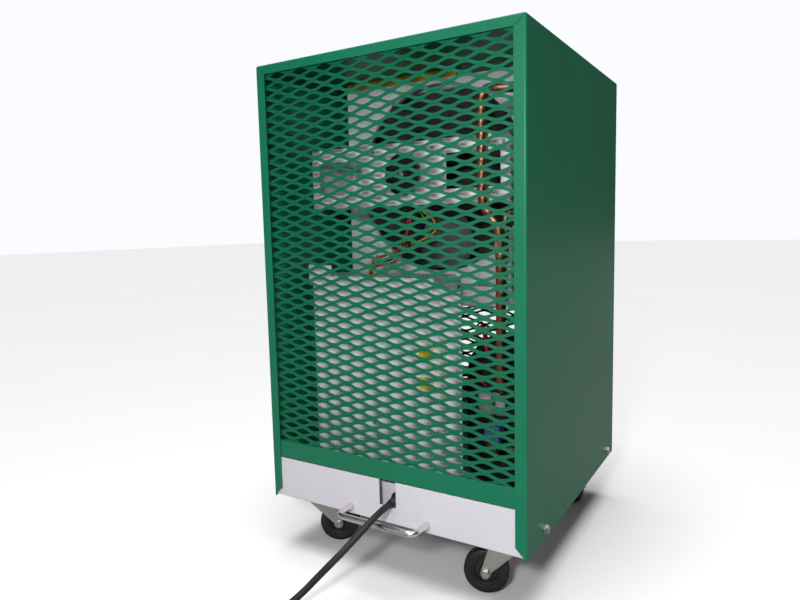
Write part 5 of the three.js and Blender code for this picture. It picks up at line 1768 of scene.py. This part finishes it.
tie_low, tie_high = span("cord_tie")
TIE_TURN = math.radians(35)
coil_outer = COIL_INNER + COIL_PITCH * COIL_TURNS + CORD_RADIUS
strap_in, strap_out = 38.7, coil_outer + 1.6
strap_low, strap_high = tie_low.z, tie_high.z
strap = bmesh.new()
loop = [(strap_in, strap_low), (strap_out, strap_low), (strap_out, strap_high), (strap_in, strap_high)]
strap_face = [strap.verts.new((x, -6.8, z)) for x, z in loop]
strap_edges = [strap.edges.new(pair) for pair in zip(strap_face, strap_face[1:] + strap_face[:1])]
pulled = bmesh.ops.extrude_edge_only(strap, edges=strap_edges)["geom"]
bmesh.ops.translate(strap, verts=only_verts(pulled), vec=(0, 13.6, 0))
cross_edges = [e for e in strap.edges if abs(e.verts[0].co.y - e.verts[1].co.y) > 1]
bmesh.ops.bevel(strap, geom=cross_edges, offset=4.0, segments=4, profile=0.5, affect="EDGES", material=-1)
strap_piece = piece_from(
    strap, "hook_and_loop_tie", BLACK_PLASTIC, "black_rubber", stands_for=["cord_tie"], smooth=True,
    turned=Matrix.Translation(COIL_CENTRE) @ Matrix.Rotation(TIE_TURN, 4, "Z"),
)
thickened(strap_piece, 1.1, even=False)

tail_ribs = []
for i in range(6):
    near = 1 + i * 4.3
    wider = i * 0.45
    tail_ribs += [(6.6 + wider, near), (6.9 + wider, near + 2.2)]
    tail_ribs += [(6.0 + wider, near + 2.7), (6.1 + wider, near + 3.9)]
plug_profile = [
    (0, 0), (6.4, 0), *tail_ribs, (9.4, 28.6), (13.4, 30), (16.4, 34), (18.0, 40), (18.6, 44), (18.6, 52),
    (17.6, 54), (17.6, 58), (18.6, 60), (18.6, 71.4), (17.4, 73.6), (0, 74),
]
plug = turned(plug_profile, 56)
PIN_APART = 9.5
for way in (-1, 1):
    pin = turned([(0, 73), (2.4, 73), (2.4, 90), (1.5, 92), (0, 92)], 20)
    add(plug, pin, Matrix.Translation((0, way * PIN_APART, 0)))
piece_from(
    plug, "moulded_plug", BLACK_PLASTIC, "black_plastic", stands_for=["mains_plug"], smooth=True,
    turned=at(PLUG_END, "X"),
)
print("gland, tie and plug made")

# %% [markdown]
# ## The studio
#
# The machine stands on a pale floor under soft light. The key light is small and close to the camera, as a
# flash is, so that light goes through the grille and the white parts behind it stay bright. A sun straight
# above keeps the floor white as far as it goes, and a warm light behind gives the side its warmer edge. The
# floor is pale to the camera and darker to every other ray, so its glow doesn't wash out the green sides.

# %% Stage
floor_bm = bmesh.new()
bmesh.ops.create_grid(floor_bm, x_segments=1, y_segments=1, size=20)
floor_mesh = bpy.data.meshes.new("floor")
floor_bm.to_mesh(floor_mesh)
floor_bm.free()
floor = bpy.data.objects.new("floor", floor_mesh)
bpy.context.collection.objects.link(floor)
paper = Finish("pale_floor", 0.9, colour=(0.86, 0.86, 0.87))
to_camera = paper.node("LightPath")
bright = paper.mixed(paper.noise(0.8), (0.86, 0.86, 0.865), (0.90, 0.90, 0.90))
paper.set("Base Color", paper.mixed(to_camera, (0.34, 0.335, 0.33), bright))
floor.data.materials.append(paper.material)

# %% [markdown]
# ## Lights
#
# The key light is small, so that it throws crisp light through the grille. The front fill and the warm side
# fill are weak. The sky is bright only to the camera, which keeps the background white and the green deep.

# %% Lights
def soft_light(name, spot, aim, size, watts, tint=(1, 1, 1)):
    lamp = bpy.data.lights.new(name, "AREA")
    lamp.shape = "RECTANGLE"
    lamp.size, lamp.size_y = size
    lamp.energy = watts
    lamp.color = tint
    holder = bpy.data.objects.new(name, lamp)
    holder.location = spot
    way = Vector(aim) - Vector(spot)
    holder.rotation_euler = way.to_track_quat("-Z", "Y").to_euler()
    bpy.context.collection.objects.link(holder)
    return holder


soft_light("key", (0.46, -1.42, 0.88), (0, 0, 0.46), (0.16, 0.16), 12.5)
soft_light("front_fill", (-0.9, -2.8, 1.4), (0, 0, 0.45), (1.6, 1.2), 4)
soft_light("side_fill", (2.6, 1.8, 1.0), (0, 0, 0.4), (1.2, 1.6), 2, (1.0, 0.80, 0.64))
sun = bpy.data.lights.new("overhead_sun", "SUN")
sun.energy = 3.0
sun.angle = math.radians(40)
overhead = bpy.data.objects.new("overhead_sun", sun)
overhead.rotation_euler = (math.radians(4), 0, 0)
bpy.context.collection.objects.link(overhead)
world = bpy.data.worlds.new("studio")
bpy.context.scene.world = world
world.use_nodes = True
sky = world.node_tree.nodes["Background"]
sky.inputs["Color"].default_value = (0.96, 0.97, 1.0, 1.0)
seen = world.node_tree.nodes.new("ShaderNodeLightPath")
glow = world.node_tree.nodes.new("ShaderNodeMapRange")
glow.inputs["To Min"].default_value = 0.08
glow.inputs["To Max"].default_value = 1.0
world.node_tree.links.new(seen.outputs["Is Camera Ray"], glow.inputs["Value"])
world.node_tree.links.new(glow.outputs["Result"], sky.inputs["Strength"])
bpy.context.scene.view_settings.view_transform = "Standard"
print("studio made")
